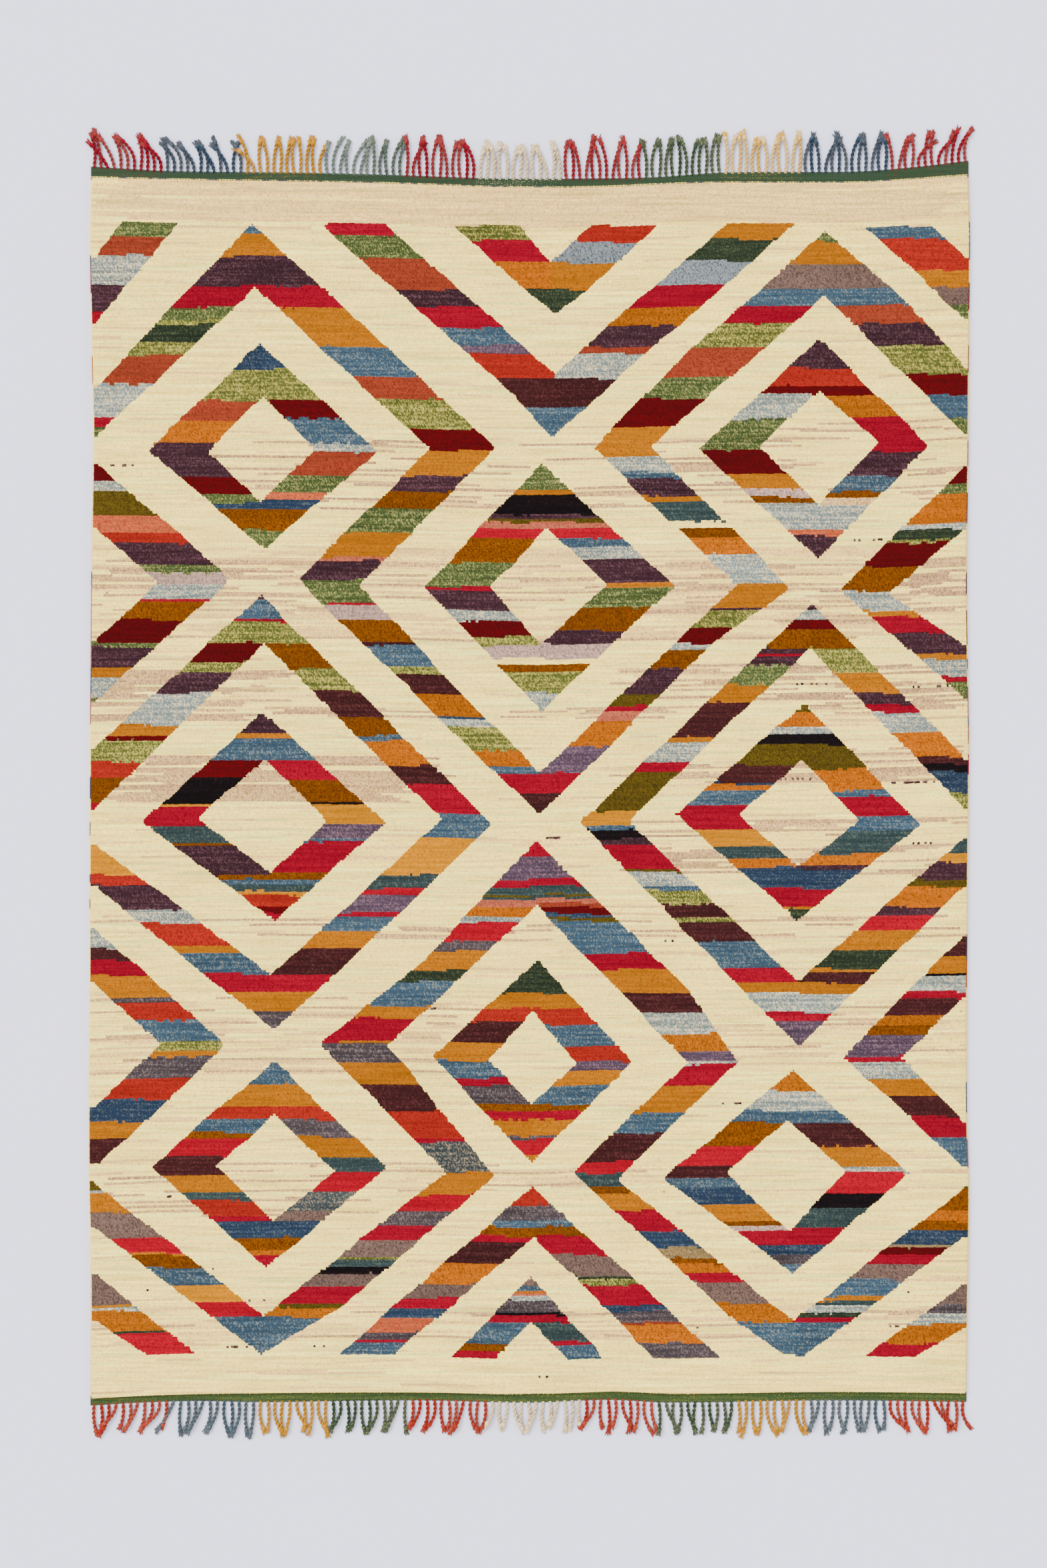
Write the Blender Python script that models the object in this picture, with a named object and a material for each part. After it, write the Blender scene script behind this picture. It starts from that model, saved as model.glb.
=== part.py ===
"""Gabbeh rug: a knotted wool pile with flat-woven ends, warp fringes and overcast side cords.

Metres, +Z up. The rug lies flat on Z = 0, X runs across it and Y along it. The head end is at +Y
and the foot end at -Y. The origin is on the underside, at the middle of the pile.
"""

import math
import random
from typing import NamedTuple

import bmesh
import bpy
from mathutils import Vector

# Overall sizes, the pile's at its foundation
RUG_WIDTH = 1.716
PILE_LENGTH = 2.360
PILE_THICKNESS = 0.013
GAP = 0.0003
MM = 0.001

# Side cords, overcast with wool along both edges of the pile
SIDE_CORD_WIDTH = 0.006
SIDE_CORD_HEIGHT = 0.0064
SIDE_CORD_CHAMFER = 0.0016

# Pile
PILE_WIDTH = RUG_WIDTH - 2 * (SIDE_CORD_WIDTH + GAP)
CELLS_ACROSS = 16
CELLS_ALONG = 22
UNEVEN = 0.0007
SHARP_ANGLE = math.radians(40)

# Flat-woven ends
KILIM_THICKNESS = 0.0034

# Fringe cords
ROOT_WIDTH = 0.0040
LENGTH_SPREAD = 0.10
GATHERING = 0.35
SWAY = 0.0025
LEAN_POWER = 1.4
HEADING_SHARE = 0.05
LEAST_SPACE = 0.0009
NUDGE = 0.0005
BUNCH_SIZES = (2, 3, 3, 4)
FRINGE_SEED = 7


class Station(NamedTuple):
    """How far out an edge lies from a base line at one place along it."""

    share: float
    out_mm: float


class RimStep(NamedTuple):
    """One step up the rim of the pile, whose tufts splay over what lies beside it."""

    out: float
    height: float


class CordGroup(NamedTuple):
    """Fringe cords of one wool, side by side, counted from -X to +X."""

    wool: str
    cords: int
    first_lean_mm: float
    last_lean_mm: float
    length_mm: float


class CordRing(NamedTuple):
    """The section of a fringe cord at one place along it."""

    share: float
    width: float
    height: float


class Cord(NamedTuple):
    """One fringe cord: its root along the strip and how far across its tip reaches."""

    root: float
    reach: float
    length: float
    wool: str


# Edges of the pile, with shares from -X to +X on the ends and from foot to head on the sides
HEAD_BOWS = (
    Station(0.00, 9), Station(0.09, 5), Station(0.24, 1), Station(0.35, -3), Station(0.47, -10),
    Station(0.57, -10), Station(0.69, -2), Station(0.87, -1), Station(0.92, 3), Station(1.00, 13),
)
FOOT_BOWS = (
    Station(0.00, 9), Station(0.05, 4), Station(0.13, 0), Station(0.37, -3), Station(0.50, 1),
    Station(0.59, -5), Station(0.66, 0), Station(0.85, -4), Station(1.00, -1),
)
LEFT_BOWS = (
    Station(0.00, 0), Station(0.10, 0), Station(0.19, 4), Station(0.34, 2.5), Station(0.55, 1),
    Station(0.70, -2), Station(0.79, -5), Station(0.84, -3), Station(0.94, 1), Station(1.00, -1),
)
RIGHT_BOWS = (
    Station(0.00, -4), Station(0.11, 0), Station(0.16, 1.5), Station(0.24, -3),
    Station(0.38, -2), Station(0.53, 1), Station(0.66, -3), Station(0.78, 0),
    Station(0.86, 1), Station(0.95, 3), Station(1.00, 0),
)

# Depth of the flat-woven ends, from the pile outwards
HEAD_DEPTHS = (
    Station(0.00, 26), Station(0.09, 21), Station(0.24, 22), Station(0.39, 21), Station(0.56, 22),
    Station(0.65, 19), Station(0.73, 25), Station(0.87, 26), Station(0.95, 29), Station(1.00, 33),
)
FOOT_DEPTHS = (
    Station(0.00, 18), Station(0.12, 18), Station(0.20, 22), Station(0.35, 20),
    Station(0.59, 21), Station(1.00, 21),
)

PILE_RIM = (
    RimStep(0.0, 0.0),
    RimStep(0.0, 0.0068),
    RimStep(0.0038, 0.0086),
    RimStep(0.0032, 0.0108),
    RimStep(-0.0040, PILE_THICKNESS),
)

CORD_RINGS = (
    CordRing(0.40, 0.0044, 0.0044),
    CordRing(0.74, 0.0044, 0.0044),
    CordRing(0.82, 0.0072, 0.0060),
    CordRing(1.00, 0.0062, 0.0026),
)

# Places between the rings where cords are also kept apart, at the width that they have there
BETWEEN_RINGS = tuple(CordRing(share, 0.0064, 0.0) for share in (0.48, 0.56, 0.64, 0.70, 0.88, 0.94))

HEAD_GROUPS = (
    CordGroup("red", 11, -30, -26, 73),
    CordGroup("blue", 12, -18, -14, 68),
    CordGroup("gold", 12, -12, 14, 70),
    CordGroup("grey green", 12, 14, 6, 70),
    CordGroup("red", 11, 8, -4, 77),
    CordGroup("cream", 13, 0, -8, 70),
    CordGroup("red", 12, -8, 4, 80),
    CordGroup("green", 12, 3, 0, 79),
    CordGroup("gold", 12, 4, 4, 76),
    CordGroup("blue", 13, 6, 5, 74),
    CordGroup("red", 12, 10, 27, 70),
)
FOOT_GROUPS = (
    CordGroup("red", 11, -16, -24, 60),
    CordGroup("blue", 12, -20, -5, 68),
    CordGroup("gold", 10, 4, 4, 66),
    CordGroup("green", 11, -10, -8, 62),
    CordGroup("red", 11, -14, -5, 63),
    CordGroup("cream", 13, -4, -6, 58),
    CordGroup("red", 10, -14, 14, 64),
    CordGroup("green", 11, 12, -6, 60),
    CordGroup("gold", 10, -2, 5, 69),
    CordGroup("blue", 11, -4, 6, 64),
    CordGroup("red", 11, 12, 20, 60),
)

# Wool colours, linear RGB
WOOLS = {
    "ivory": (0.85, 0.70, 0.46),
    "kilim green": (0.055, 0.095, 0.060),
    "red": (0.50, 0.035, 0.035),
    "blue": (0.060, 0.120, 0.220),
    "gold": (0.80, 0.45, 0.07),
    "grey green": (0.13, 0.19, 0.16),
    "green": (0.045, 0.095, 0.060),
    "cream": (0.72, 0.58, 0.40),
    "side wool": (0.45, 0.10, 0.06),
}
WOOL_ROUGHNESS = 0.92


def along(table, share):
    """The value in metres at a share along an edge, on a smooth curve through the table."""
    last = len(table) - 1
    i = next((k for k in range(last) if share <= table[k + 1].share), last - 1)
    before, a, b, after = (table[min(max(k, 0), last)] for k in (i - 1, i, i + 1, i + 2))
    t = (share - a.share) / (b.share - a.share)
    span = b.share - a.share
    rise_a = (b.out_mm - before.out_mm) / (b.share - before.share) * span
    rise_b = (after.out_mm - a.out_mm) / (after.share - a.share) * span
    value = (
        a.out_mm * (1 - 3 * t * t + 2 * t**3)
        + b.out_mm * (3 * t * t - 2 * t**3)
        + rise_a * (t - 2 * t * t + t**3)
        + rise_b * (t**3 - t * t)
    )
    return value * MM


def place(across, up):
    """The plan place of a share across and a share along the pile, inside its wandering edges."""
    left = -PILE_WIDTH / 2 - along(LEFT_BOWS, up)
    right = PILE_WIDTH / 2 + along(RIGHT_BOWS, up)
    foot = -PILE_LENGTH / 2 - along(FOOT_BOWS, across)
    head = PILE_LENGTH / 2 + along(HEAD_BOWS, across)
    return Vector((left + (right - left) * across, foot + (head - foot) * up, 0.0))


def wool(name):
    """A matt wool material."""
    material = bpy.data.materials.get(name) or bpy.data.materials.new(name)
    material.use_nodes = True
    shader = material.node_tree.nodes["Principled BSDF"]
    shader.inputs["Base Color"].default_value = (*WOOLS[name], 1.0)
    shader.inputs["Roughness"].default_value = WOOL_ROUGHNESS
    shader.inputs["Metallic"].default_value = 0.0
    material.diffuse_color = (*WOOLS[name], 1.0)
    return material


def add_object(name, mesh, wools, centre):
    """Links a finished bmesh as one object that stands at its own centre."""
    bmesh.ops.recalc_face_normals(mesh, faces=mesh.faces)
    bmesh.ops.translate(mesh, verts=mesh.verts, vec=-centre)
    data = bpy.data.meshes.new(name)
    mesh.to_mesh(data)
    mesh.free()
    for each in wools:
        data.materials.append(wool(each))
    made = bpy.data.objects.new(name, data)
    made.location = centre
    bpy.context.scene.collection.objects.link(made)
    return made


def unevenness(spot):
    """The low swell of hand-knotted pile, a fraction of a millimetre up or down."""
    ripple = math.sin(9.0 * spot.x + 1.3) * math.cos(6.1 * spot.y)
    swell = math.sin(5.2 * spot.y - 3.7 * spot.x + 0.8)
    waves = 0.6 * ripple + 0.4 * swell
    return UNEVEN * waves


def rim_shares():
    """Shares round the edge of the pile, anticlockwise from the foot's -X corner."""
    foot = [(i / CELLS_ACROSS, 0.0) for i in range(CELLS_ACROSS)]
    right = [(1.0, j / CELLS_ALONG) for j in range(CELLS_ALONG)]
    head = [(1 - i / CELLS_ACROSS, 1.0) for i in range(CELLS_ACROSS)]
    left = [(0.0, 1 - j / CELLS_ALONG) for j in range(CELLS_ALONG)]
    return foot + right + head + left


def outward(across, up):
    """The way out of the pile at a share on its edge, in plan; corners point diagonally."""
    x = (across == 1.0) - (across == 0.0)
    y = (up == 1.0) - (up == 0.0)
    return Vector((x, y, 0.0))


def build_pile():
    """One slab: a flat underside, a rim of splayed tufts and a slightly uneven top."""
    mesh = bmesh.new()
    shares = rim_shares()
    rings = []
    for step in PILE_RIM[:-1]:
        ring = []
        for across, up in shares:
            spot = place(across, up) + outward(across, up) * step.out
            spot.z = step.height
            ring.append(mesh.verts.new(spot))
        rings.append(ring)
    top = {}
    inset = PILE_RIM[-1].out
    for i in range(CELLS_ACROSS + 1):
        for j in range(CELLS_ALONG + 1):
            across, up = i / CELLS_ACROSS, j / CELLS_ALONG
            spot = place(across, up) + outward(across, up) * inset
            spot.z = PILE_THICKNESS + unevenness(spot)
            top[i, j] = mesh.verts.new(spot)
    rings.append([top[round(a * CELLS_ACROSS), round(u * CELLS_ALONG)] for a, u in shares])
    mesh.faces.new(reversed(rings[0]))
    for lower, upper in zip(rings, rings[1:]):
        for k in range(len(shares)):
            n = (k + 1) % len(shares)
            mesh.faces.new((lower[k], lower[n], upper[n], upper[k]))
    for i in range(CELLS_ACROSS):
        for j in range(CELLS_ALONG):
            mesh.faces.new((top[i, j], top[i + 1, j], top[i + 1, j + 1], top[i, j + 1]))
    made = add_object("pile_field", mesh, ["ivory"], Vector((0.0, 0.0, 0.0)))
    made.data.shade_smooth()
    made.data.set_sharp_from_angle(angle=SHARP_ANGLE)


def side_cord_section():
    """The cord's section: distance outwards from the pile's base, and height."""
    w, h, c = SIDE_CORD_WIDTH, SIDE_CORD_HEIGHT, SIDE_CORD_CHAMFER
    return ((0, 0), (w - c, 0), (w, c), (w, h - c), (w - c, h), (c, h), (0, h - c))


def build_side_cord(name, side):
    """One overcast cord along a side of the pile, from the foot to the head."""
    mesh = bmesh.new()
    section = side_cord_section()
    across = 1.0 if side > 0 else 0.0
    rings = []
    for j in range(CELLS_ALONG + 1):
        spot = place(across, j / CELLS_ALONG)
        ring = [
            mesh.verts.new((spot.x + side * (GAP + out), spot.y, height))
            for out, height in section
        ]
        rings.append(ring)
    for lower, upper in zip(rings, rings[1:]):
        for k in range(len(section)):
            n = (k + 1) % len(section)
            mesh.faces.new((lower[k], lower[n], upper[n], upper[k]))
    mesh.faces.new(rings[0])
    mesh.faces.new(reversed(rings[-1]))
    centre = Vector((side * (RUG_WIDTH - SIDE_CORD_WIDTH) / 2, 0.0, 0.0))
    add_object(name, mesh, ["side wool"], centre)


class End:
    """One end of the rug: where its flat-woven strip runs and how its fringe cords lie."""

    def __init__(self, name, side, depths, groups):
        self.name = name
        self.side = side
        self.depths = depths
        self.groups = groups
        self.up = 1.0 if side > 0 else 0.0
        self.left = place(0.0, self.up).x
        self.right = place(1.0, self.up).x
        self.first = self.left - GAP - SIDE_CORD_WIDTH
        self.last = self.right + GAP + SIDE_CORD_WIDTH

    def inner(self, x):
        """The strip's edge beside the pile."""
        share = min(max((x - self.left) / (self.right - self.left), 0.0), 1.0)
        return place(share, self.up).y + self.side * GAP

    def outer(self, x):
        """The strip's edge that carries the fringe."""
        share = (x - self.first) / (self.last - self.first)
        return self.inner(x) + self.side * along(self.depths, share)

    def roots(self):
        """The middles of the cords' roots along the strip."""
        count = sum(group.cords for group in self.groups)
        pitch = (self.last - self.first) / count
        return [self.first + pitch * (k + 0.5) for k in range(count)]

    def cords(self):
        """The cords in order across the strip, their tips gathered but kept apart."""
        draw = random.Random(FRINGE_SEED + self.side)
        leans, lengths, wools = [], [], []
        for group in self.groups:
            for k in range(group.cords):
                t = k / (group.cords - 1)
                lean = group.first_lean_mm + (group.last_lean_mm - group.first_lean_mm) * t
                spread = draw.uniform(1 - LENGTH_SPREAD, 1 + LENGTH_SPREAD)
                leans.append(lean * MM)
                lengths.append(group.length_mm * MM * spread)
                wools.append(group.wool)
        roots = self.roots()
        tips = [x + lean for x, lean in zip(roots, leans)]
        for bunch in bunches(draw, len(tips)):
            middle = sum(tips[k] for k in bunch) / len(bunch)
            for k in bunch:
                tips[k] += (middle - tips[k]) * GATHERING
        made = [Cord(x, tip - x, n, name) for x, tip, n, name in zip(roots, tips, lengths, wools)]
        for k in range(1, len(made)):
            while touching(self, made[k - 1], made[k]):
                made[k] = made[k]._replace(reach=made[k].reach + NUDGE)
        return made


def bunches(draw, count):
    """Neighbouring cords whose tips lie closer together, a few at a time."""
    start = 0
    found = []
    while start < count:
        size = draw.choice(BUNCH_SIZES)
        found.append(range(start, min(start + size, count)))
        start += size
    return found


def cord_middle(end, cord, share):
    """The middle of a fringe cord at a share along it: straight out at first, then leaning."""
    out = math.sqrt(cord.length**2 - cord.reach**2)
    sway = SWAY * math.sin(math.pi * share) * math.copysign(1, -cord.reach)
    x = cord.root + cord.reach * share**LEAN_POWER + sway
    return Vector((x, end.outer(cord.root) + end.side * out * share, 0.0))


def touching(end, cord, neighbour):
    """Whether two cords come closer than the least space anywhere along them."""
    rings = CORD_RINGS + BETWEEN_RINGS
    for ring in rings:
        spot = cord_middle(end, cord, ring.share)
        for other in rings:
            least = (ring.width + other.width) / 2 + LEAST_SPACE
            if (cord_middle(end, neighbour, other.share) - spot).length < least:
                return True
    return False


def add_cord(mesh, end, hole, cord, material):
    """Grows one four-sided cord out of its root in the strip, lying level on the floor."""
    ring = hole
    for step in CORD_RINGS:
        spot = cord_middle(end, cord, step.share)
        back = cord_middle(end, cord, step.share - HEADING_SHARE)
        way = (spot - back).normalized()
        across = Vector((way.y, -way.x, 0.0)) * end.side * step.width / 2
        upper = Vector((0.0, 0.0, step.height))
        corners = (spot - across, spot + across, spot + across + upper, spot - across + upper)
        following = [mesh.verts.new(corner) for corner in corners]
        for k in range(4):
            n = (k + 1) % 4
            side = mesh.faces.new((ring[k], ring[n], following[n], following[k]))
            side.material_index = material
        ring = following
    mesh.faces.new(ring).material_index = material


def upright(mesh, x, y):
    """The lower and the upper corner of the strip's edge at one place."""
    return mesh.verts.new((x, y, 0.0)), mesh.verts.new((x, y, KILIM_THICKNESS))


def wall(a, b):
    """The four corners of the strip's edge between two uprights."""
    return a[0], b[0], b[1], a[1]


def build_strip(mesh, end, cords):
    """The flat-woven strip, open where the cords grow out; returns the holes, one for each cord."""
    stations = [end.first]
    for cord in cords:
        stations += [cord.root - ROOT_WIDTH / 2, cord.root + ROOT_WIDTH / 2]
    stations.append(end.last)
    outer = [upright(mesh, x, end.outer(x)) for x in stations]
    cells = [place(k / CELLS_ACROSS, end.up).x for k in range(CELLS_ACROSS + 1)]
    inner = [upright(mesh, x, end.inner(x)) for x in [end.first] + cells + [end.last]]
    around = outer + inner[::-1]
    for level in (0, 1):
        mesh.faces.new([pair[level] for pair in around])
    for a, b in zip(inner, inner[1:]):
        mesh.faces.new(wall(a, b))
    mesh.faces.new(wall(outer[0], inner[0]))
    mesh.faces.new(wall(outer[-1], inner[-1]))
    for a, b in zip(outer[::2], outer[1::2]):
        mesh.faces.new(wall(a, b))
    return [wall(a, b) for a, b in zip(outer[1::2], outer[2::2])]


def build_end(end):
    """One flat-woven strip with its fringe: the cords are the rug's own warps, so they are one."""
    mesh = bmesh.new()
    cords = end.cords()
    wools = ["kilim green"] + sorted({cord.wool for cord in cords})
    for hole, cord in zip(build_strip(mesh, end, cords), cords):
        add_cord(mesh, end, hole, cord, wools.index(cord.wool))
    centre = Vector((0.0, end.side * PILE_LENGTH / 2, 0.0))
    add_object(end.name, mesh, wools, centre)


def main():
    """Builds the whole rug."""
    for old in list(bpy.data.objects):
        bpy.data.objects.remove(old)
    build_pile()
    build_side_cord("side_cord_left", -1)
    build_side_cord("side_cord_right", 1)
    build_end(End("kilim_end_head", 1, HEAD_DEPTHS, HEAD_GROUPS))
    build_end(End("kilim_end_foot", -1, FOOT_DEPTHS, FOOT_GROUPS))


main()
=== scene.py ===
"""Gabbeh rug, dressed: knotted pile, flat-woven ends, twisted fringes and overcast side cords.

Metres, +Z up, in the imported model's frame. The rug lies on Z = 0, X runs across it, Y along it,
and the head end is at +Y. The pattern is a chart of knots, set out limb by limb.
"""

import math
import random
from typing import NamedTuple

import bpy
import numpy as np
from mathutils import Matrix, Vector


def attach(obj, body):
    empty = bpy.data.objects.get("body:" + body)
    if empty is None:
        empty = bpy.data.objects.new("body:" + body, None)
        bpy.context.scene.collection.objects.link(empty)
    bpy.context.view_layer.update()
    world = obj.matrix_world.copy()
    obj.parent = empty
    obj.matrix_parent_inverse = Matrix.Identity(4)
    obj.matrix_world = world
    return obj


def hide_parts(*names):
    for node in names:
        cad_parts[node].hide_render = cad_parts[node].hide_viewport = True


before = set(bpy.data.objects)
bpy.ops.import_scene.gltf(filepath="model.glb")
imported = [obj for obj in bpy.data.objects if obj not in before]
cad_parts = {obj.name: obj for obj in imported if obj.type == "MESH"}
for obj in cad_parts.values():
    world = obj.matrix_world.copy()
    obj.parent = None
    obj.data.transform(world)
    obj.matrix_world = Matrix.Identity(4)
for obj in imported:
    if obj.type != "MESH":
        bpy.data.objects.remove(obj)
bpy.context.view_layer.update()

bl_info = {
    "name": "Gabbeh rug",
    "version": (1, 0, 0),
    "blender": (4, 5, 0),
    "location": "3D View > Sidebar > Rug",
    "description": "Dresses the packed rug with pile, flat-woven ends, fringes and side cords",
    "category": "Object",
}

MM = 0.001
SEED = 11

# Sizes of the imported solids, which the dressed pieces keep
RUG_WIDTH = 1.716
PILE_LENGTH = 2.360
PILE_THICKNESS = 0.013
GAP = 0.0003
SIDE_CORD_WIDTH = 0.006
SIDE_CORD_HEIGHT = 0.0064
PILE_WIDTH = RUG_WIDTH - 2 * (SIDE_CORD_WIDTH + GAP)
KILIM_THICKNESS = 0.0034
UNEVEN = 0.0007

# Flat-woven strips, and the line of twining along the head strip
STRIP_ROWS = 8
STRIP_BEVEL = 0.0008
STRIP_UNEVEN = 0.0002
STRAY_SHARE = 0.06
ROOT_SWELL = 0.0007
TWINE_OUT = 0.0052
TWINE_HEIGHT = KILIM_THICKNESS + 0.0006
TWINE_PLY = 0.0017
TWINE_TURN = 0.008
TWINE_POINTS = 300
GREY_SHARE = 0.35
RIB_WIDTH = 0.0033
WEFT_WIDTH = 0.0019

# Fringe cords
LENGTH_SPREAD = 0.10
GATHERING = (0.55, 1.00)
CROSSING = 0.6
BUNCH_DRIFT = 0.006
TIP_DRIFT = 0.003
SWAY = 0.0030
LIFT_STEP = 0.0015
BENDS = (1.0, 2.4)
BUNCH_SIZES = (2, 3, 3, 4)
FRINGE_SEED = 7
CORD_POINTS = 40
PLY_THICKNESS = 0.0043
PLIES_APART = 0.86
TURN_LENGTH = 0.0180
ROOT_BURIED = 0.04
KNOT_SHARE = 0.80
KNOT_SWELL = 0.35
HITCH_SIZE = 0.0046
HITCH_AT = 0.955
STRAW_FADE = 0.5
PLAIN_FADE = 0.05
TUFT_FADE = 0.04
TUFT_STRANDS = 9
TUFT_THICKNESS = 0.0029
TUFT_SPREAD = 0.0090
TUFT_LIE = 0.0013
TUFT_ASIDE = 0.0014
TUFT_LONG = (0.62, 1.04)
TUFT_RISE = (0.0010, 0.0042)
TUFT_NARROW = 0.34
TUFT_TAPER = 0.32

# Side cords
SIDE_POINTS = 700

# The stage is lit until white wool is nearly white, so wool's own colours are deeper than they look
WHITE_SHARE = 0.30
WHITE_GAIN = 1.05
DEPTH = 1.1
LUMA = np.array([0.2126, 0.7152, 0.0722])

# Knots of the pile
KNOTS_ACROSS = 360
KNOT_ROWS = 496
STATION_EVERY = 24
BACK_ROWS = 4
DYE_SPREAD = 0.12
STRAGGLE = 0.0008
LEAN = 0.30
LEAN_REACH = 2
SHARP_ANGLE = math.radians(40)
EDGE_MIDDLE = KNOTS_ACROSS // 2

# Streaks of the ground: shares of other fleeces, lengths in knots, and how deep their tone goes
MILK_SHARE = 0.22
SAND_SHARE = 0.06
STREAK_KNOTS = (12, 70)
STREAK_LEAD = 40
STREAK_SHIFT = 14
DEEPEST_TONE = 0.80
DEEPER_SHARE = 0.24
FULL_PATCH = 0.9
STRAY_KNOTS = 0.34
TAUPE_SHARE = 0.6

# How far the knots wander from the chart's lines, in its steps
EDGE_WOBBLE = 1.0
SLOW_WOBBLE = 3.4
BAR_WOBBLE = 2.4
TEETH = 0.5
WOBBLE_BLOCKS = 40
BLOCK_STEPS = 40

# Tufts along the pile's edge
TUFT_HEIGHTS = (0.0040, 0.0086)
TUFT_ROOT = 0.0022

# The plan map of the pile: the top takes the first part of its width and the back the last
TOP_FROM, TOP_WIDTH = 0.005, 0.785
BACK_FROM, BACK_WIDTH = 0.80, 0.195
MAP_MARGIN = 0.02
MAP_EDGE = 0.03

# Stage
FLOOR_HALF = 12.0
ROOM_STRENGTH = 2.3
SUN_STRENGTH = 5.2
SUN_ANGLE = math.radians(35)
SUN_PLACE = (-3.0, 3.0, 5.0)
LIGHT_TINT = (1.0, 0.985, 0.96)
FRAME_HEIGHT = 3.061
FRAME_MIDDLE = (-0.0117, 0.0078)
LENS = 85.0
SENSOR = 36.0

# The chart is laid out in steps from its upper left corner, with the rug's middle at CHART_MIDDLE
CHART_STEP = 0.001303
CHART_MIDDLE = (793.0, 1180.5)


class Station(NamedTuple):
    """How far out an edge lies from a base line at one place along it."""

    share: float
    out_mm: float


class RimStep(NamedTuple):
    """One step up the rim of the pile."""

    out: float
    height: float


class CordGroup(NamedTuple):
    """Fringe cords of one wool, side by side, counted from -X to +X."""

    wool: str
    cords: int
    first_lean_mm: float
    last_lean_mm: float
    length_mm: float


class Cord(NamedTuple):
    """One fringe cord: its root along the strip, its reach across, its length, bend and lift."""

    root: float
    reach: float
    length: float
    bend: float
    lift: float
    wool: str


class Wool(NamedTuple):
    """A dyed wool: its colour and the fleck spun into it, as sRGB shares, and how much fleck."""

    colour: tuple
    fleck: tuple
    share: float


class Limb(NamedTuple):
    """A slanting band of the lattice: corners (y, x) down both edges, and its bars from the top."""

    left: tuple
    right: tuple
    bars: str


class Streak(NamedTuple):
    """A patch of the ground where the wool was spun from other fleeces."""

    wool: str
    top: float
    bottom: float
    left: float
    right: float
    share: float


HEAD_BOWS = (
    Station(0.00, 9), Station(0.09, 5), Station(0.24, 1), Station(0.35, -3), Station(0.47, -10),
    Station(0.57, -10), Station(0.69, -2), Station(0.87, -1), Station(0.92, 3), Station(1.00, 13),
)
FOOT_BOWS = (
    Station(0.00, 9), Station(0.05, 4), Station(0.13, 0), Station(0.37, -3), Station(0.50, 1),
    Station(0.59, -5), Station(0.66, 0), Station(0.85, -4), Station(1.00, -1),
)
LEFT_BOWS = (
    Station(0.00, 0), Station(0.10, 0), Station(0.19, 4), Station(0.34, 2.5), Station(0.55, 1),
    Station(0.70, -2), Station(0.79, -5), Station(0.84, -3), Station(0.94, 1), Station(1.00, -1),
)
RIGHT_BOWS = (
    Station(0.00, -4), Station(0.11, 0), Station(0.16, 1.5), Station(0.24, -3),
    Station(0.38, -2), Station(0.53, 1), Station(0.66, -3), Station(0.78, 0),
    Station(0.86, 1), Station(0.95, 3), Station(1.00, 0),
)
HEAD_DEPTHS = (
    Station(0.00, 26), Station(0.09, 21), Station(0.24, 22), Station(0.39, 21), Station(0.56, 22),
    Station(0.65, 19), Station(0.73, 25), Station(0.87, 26), Station(0.95, 29), Station(1.00, 33),
)
FOOT_DEPTHS = (
    Station(0.00, 18), Station(0.12, 18), Station(0.20, 22), Station(0.35, 20),
    Station(0.59, 21), Station(1.00, 21),
)
PILE_RIM = (
    RimStep(0.0, 0.0),
    RimStep(0.0, 0.0068),
    RimStep(0.0034, 0.0086),
    RimStep(0.0030, 0.0108),
)
PILE_INSET = 0.0030

HEAD_GROUPS = (
    CordGroup("crimson", 11, -30, -26, 73),
    CordGroup("steel", 12, -25, -20, 68),
    CordGroup("amber", 12, -12, 14, 70),
    CordGroup("sage", 7, 14, 10, 70),
    CordGroup("dark sage", 5, 9, 6, 72),
    CordGroup("crimson", 11, 8, -4, 77),
    CordGroup("cream", 13, 0, -8, 70),
    CordGroup("crimson", 12, -8, 4, 80),
    CordGroup("bottle", 12, 3, 0, 79),
    CordGroup("straw", 12, 4, 4, 76),
    CordGroup("steel", 13, 6, 5, 74),
    CordGroup("crimson", 12, 10, 27, 70),
)
FOOT_GROUPS = (
    CordGroup("poppy", 11, -16, -24, 60),
    CordGroup("blue", 12, -20, -5, 68),
    CordGroup("amber", 10, 4, 4, 66),
    CordGroup("bottle", 11, -10, -8, 62),
    CordGroup("poppy", 11, -14, -5, 63),
    CordGroup("cream", 13, -4, -6, 58),
    CordGroup("poppy", 10, -14, 14, 64),
    CordGroup("bottle", 11, 12, -6, 60),
    CordGroup("amber", 10, -2, 5, 69),
    CordGroup("blue", 11, -4, 6, 64),
    CordGroup("poppy", 11, 12, 20, 60),
)

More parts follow.
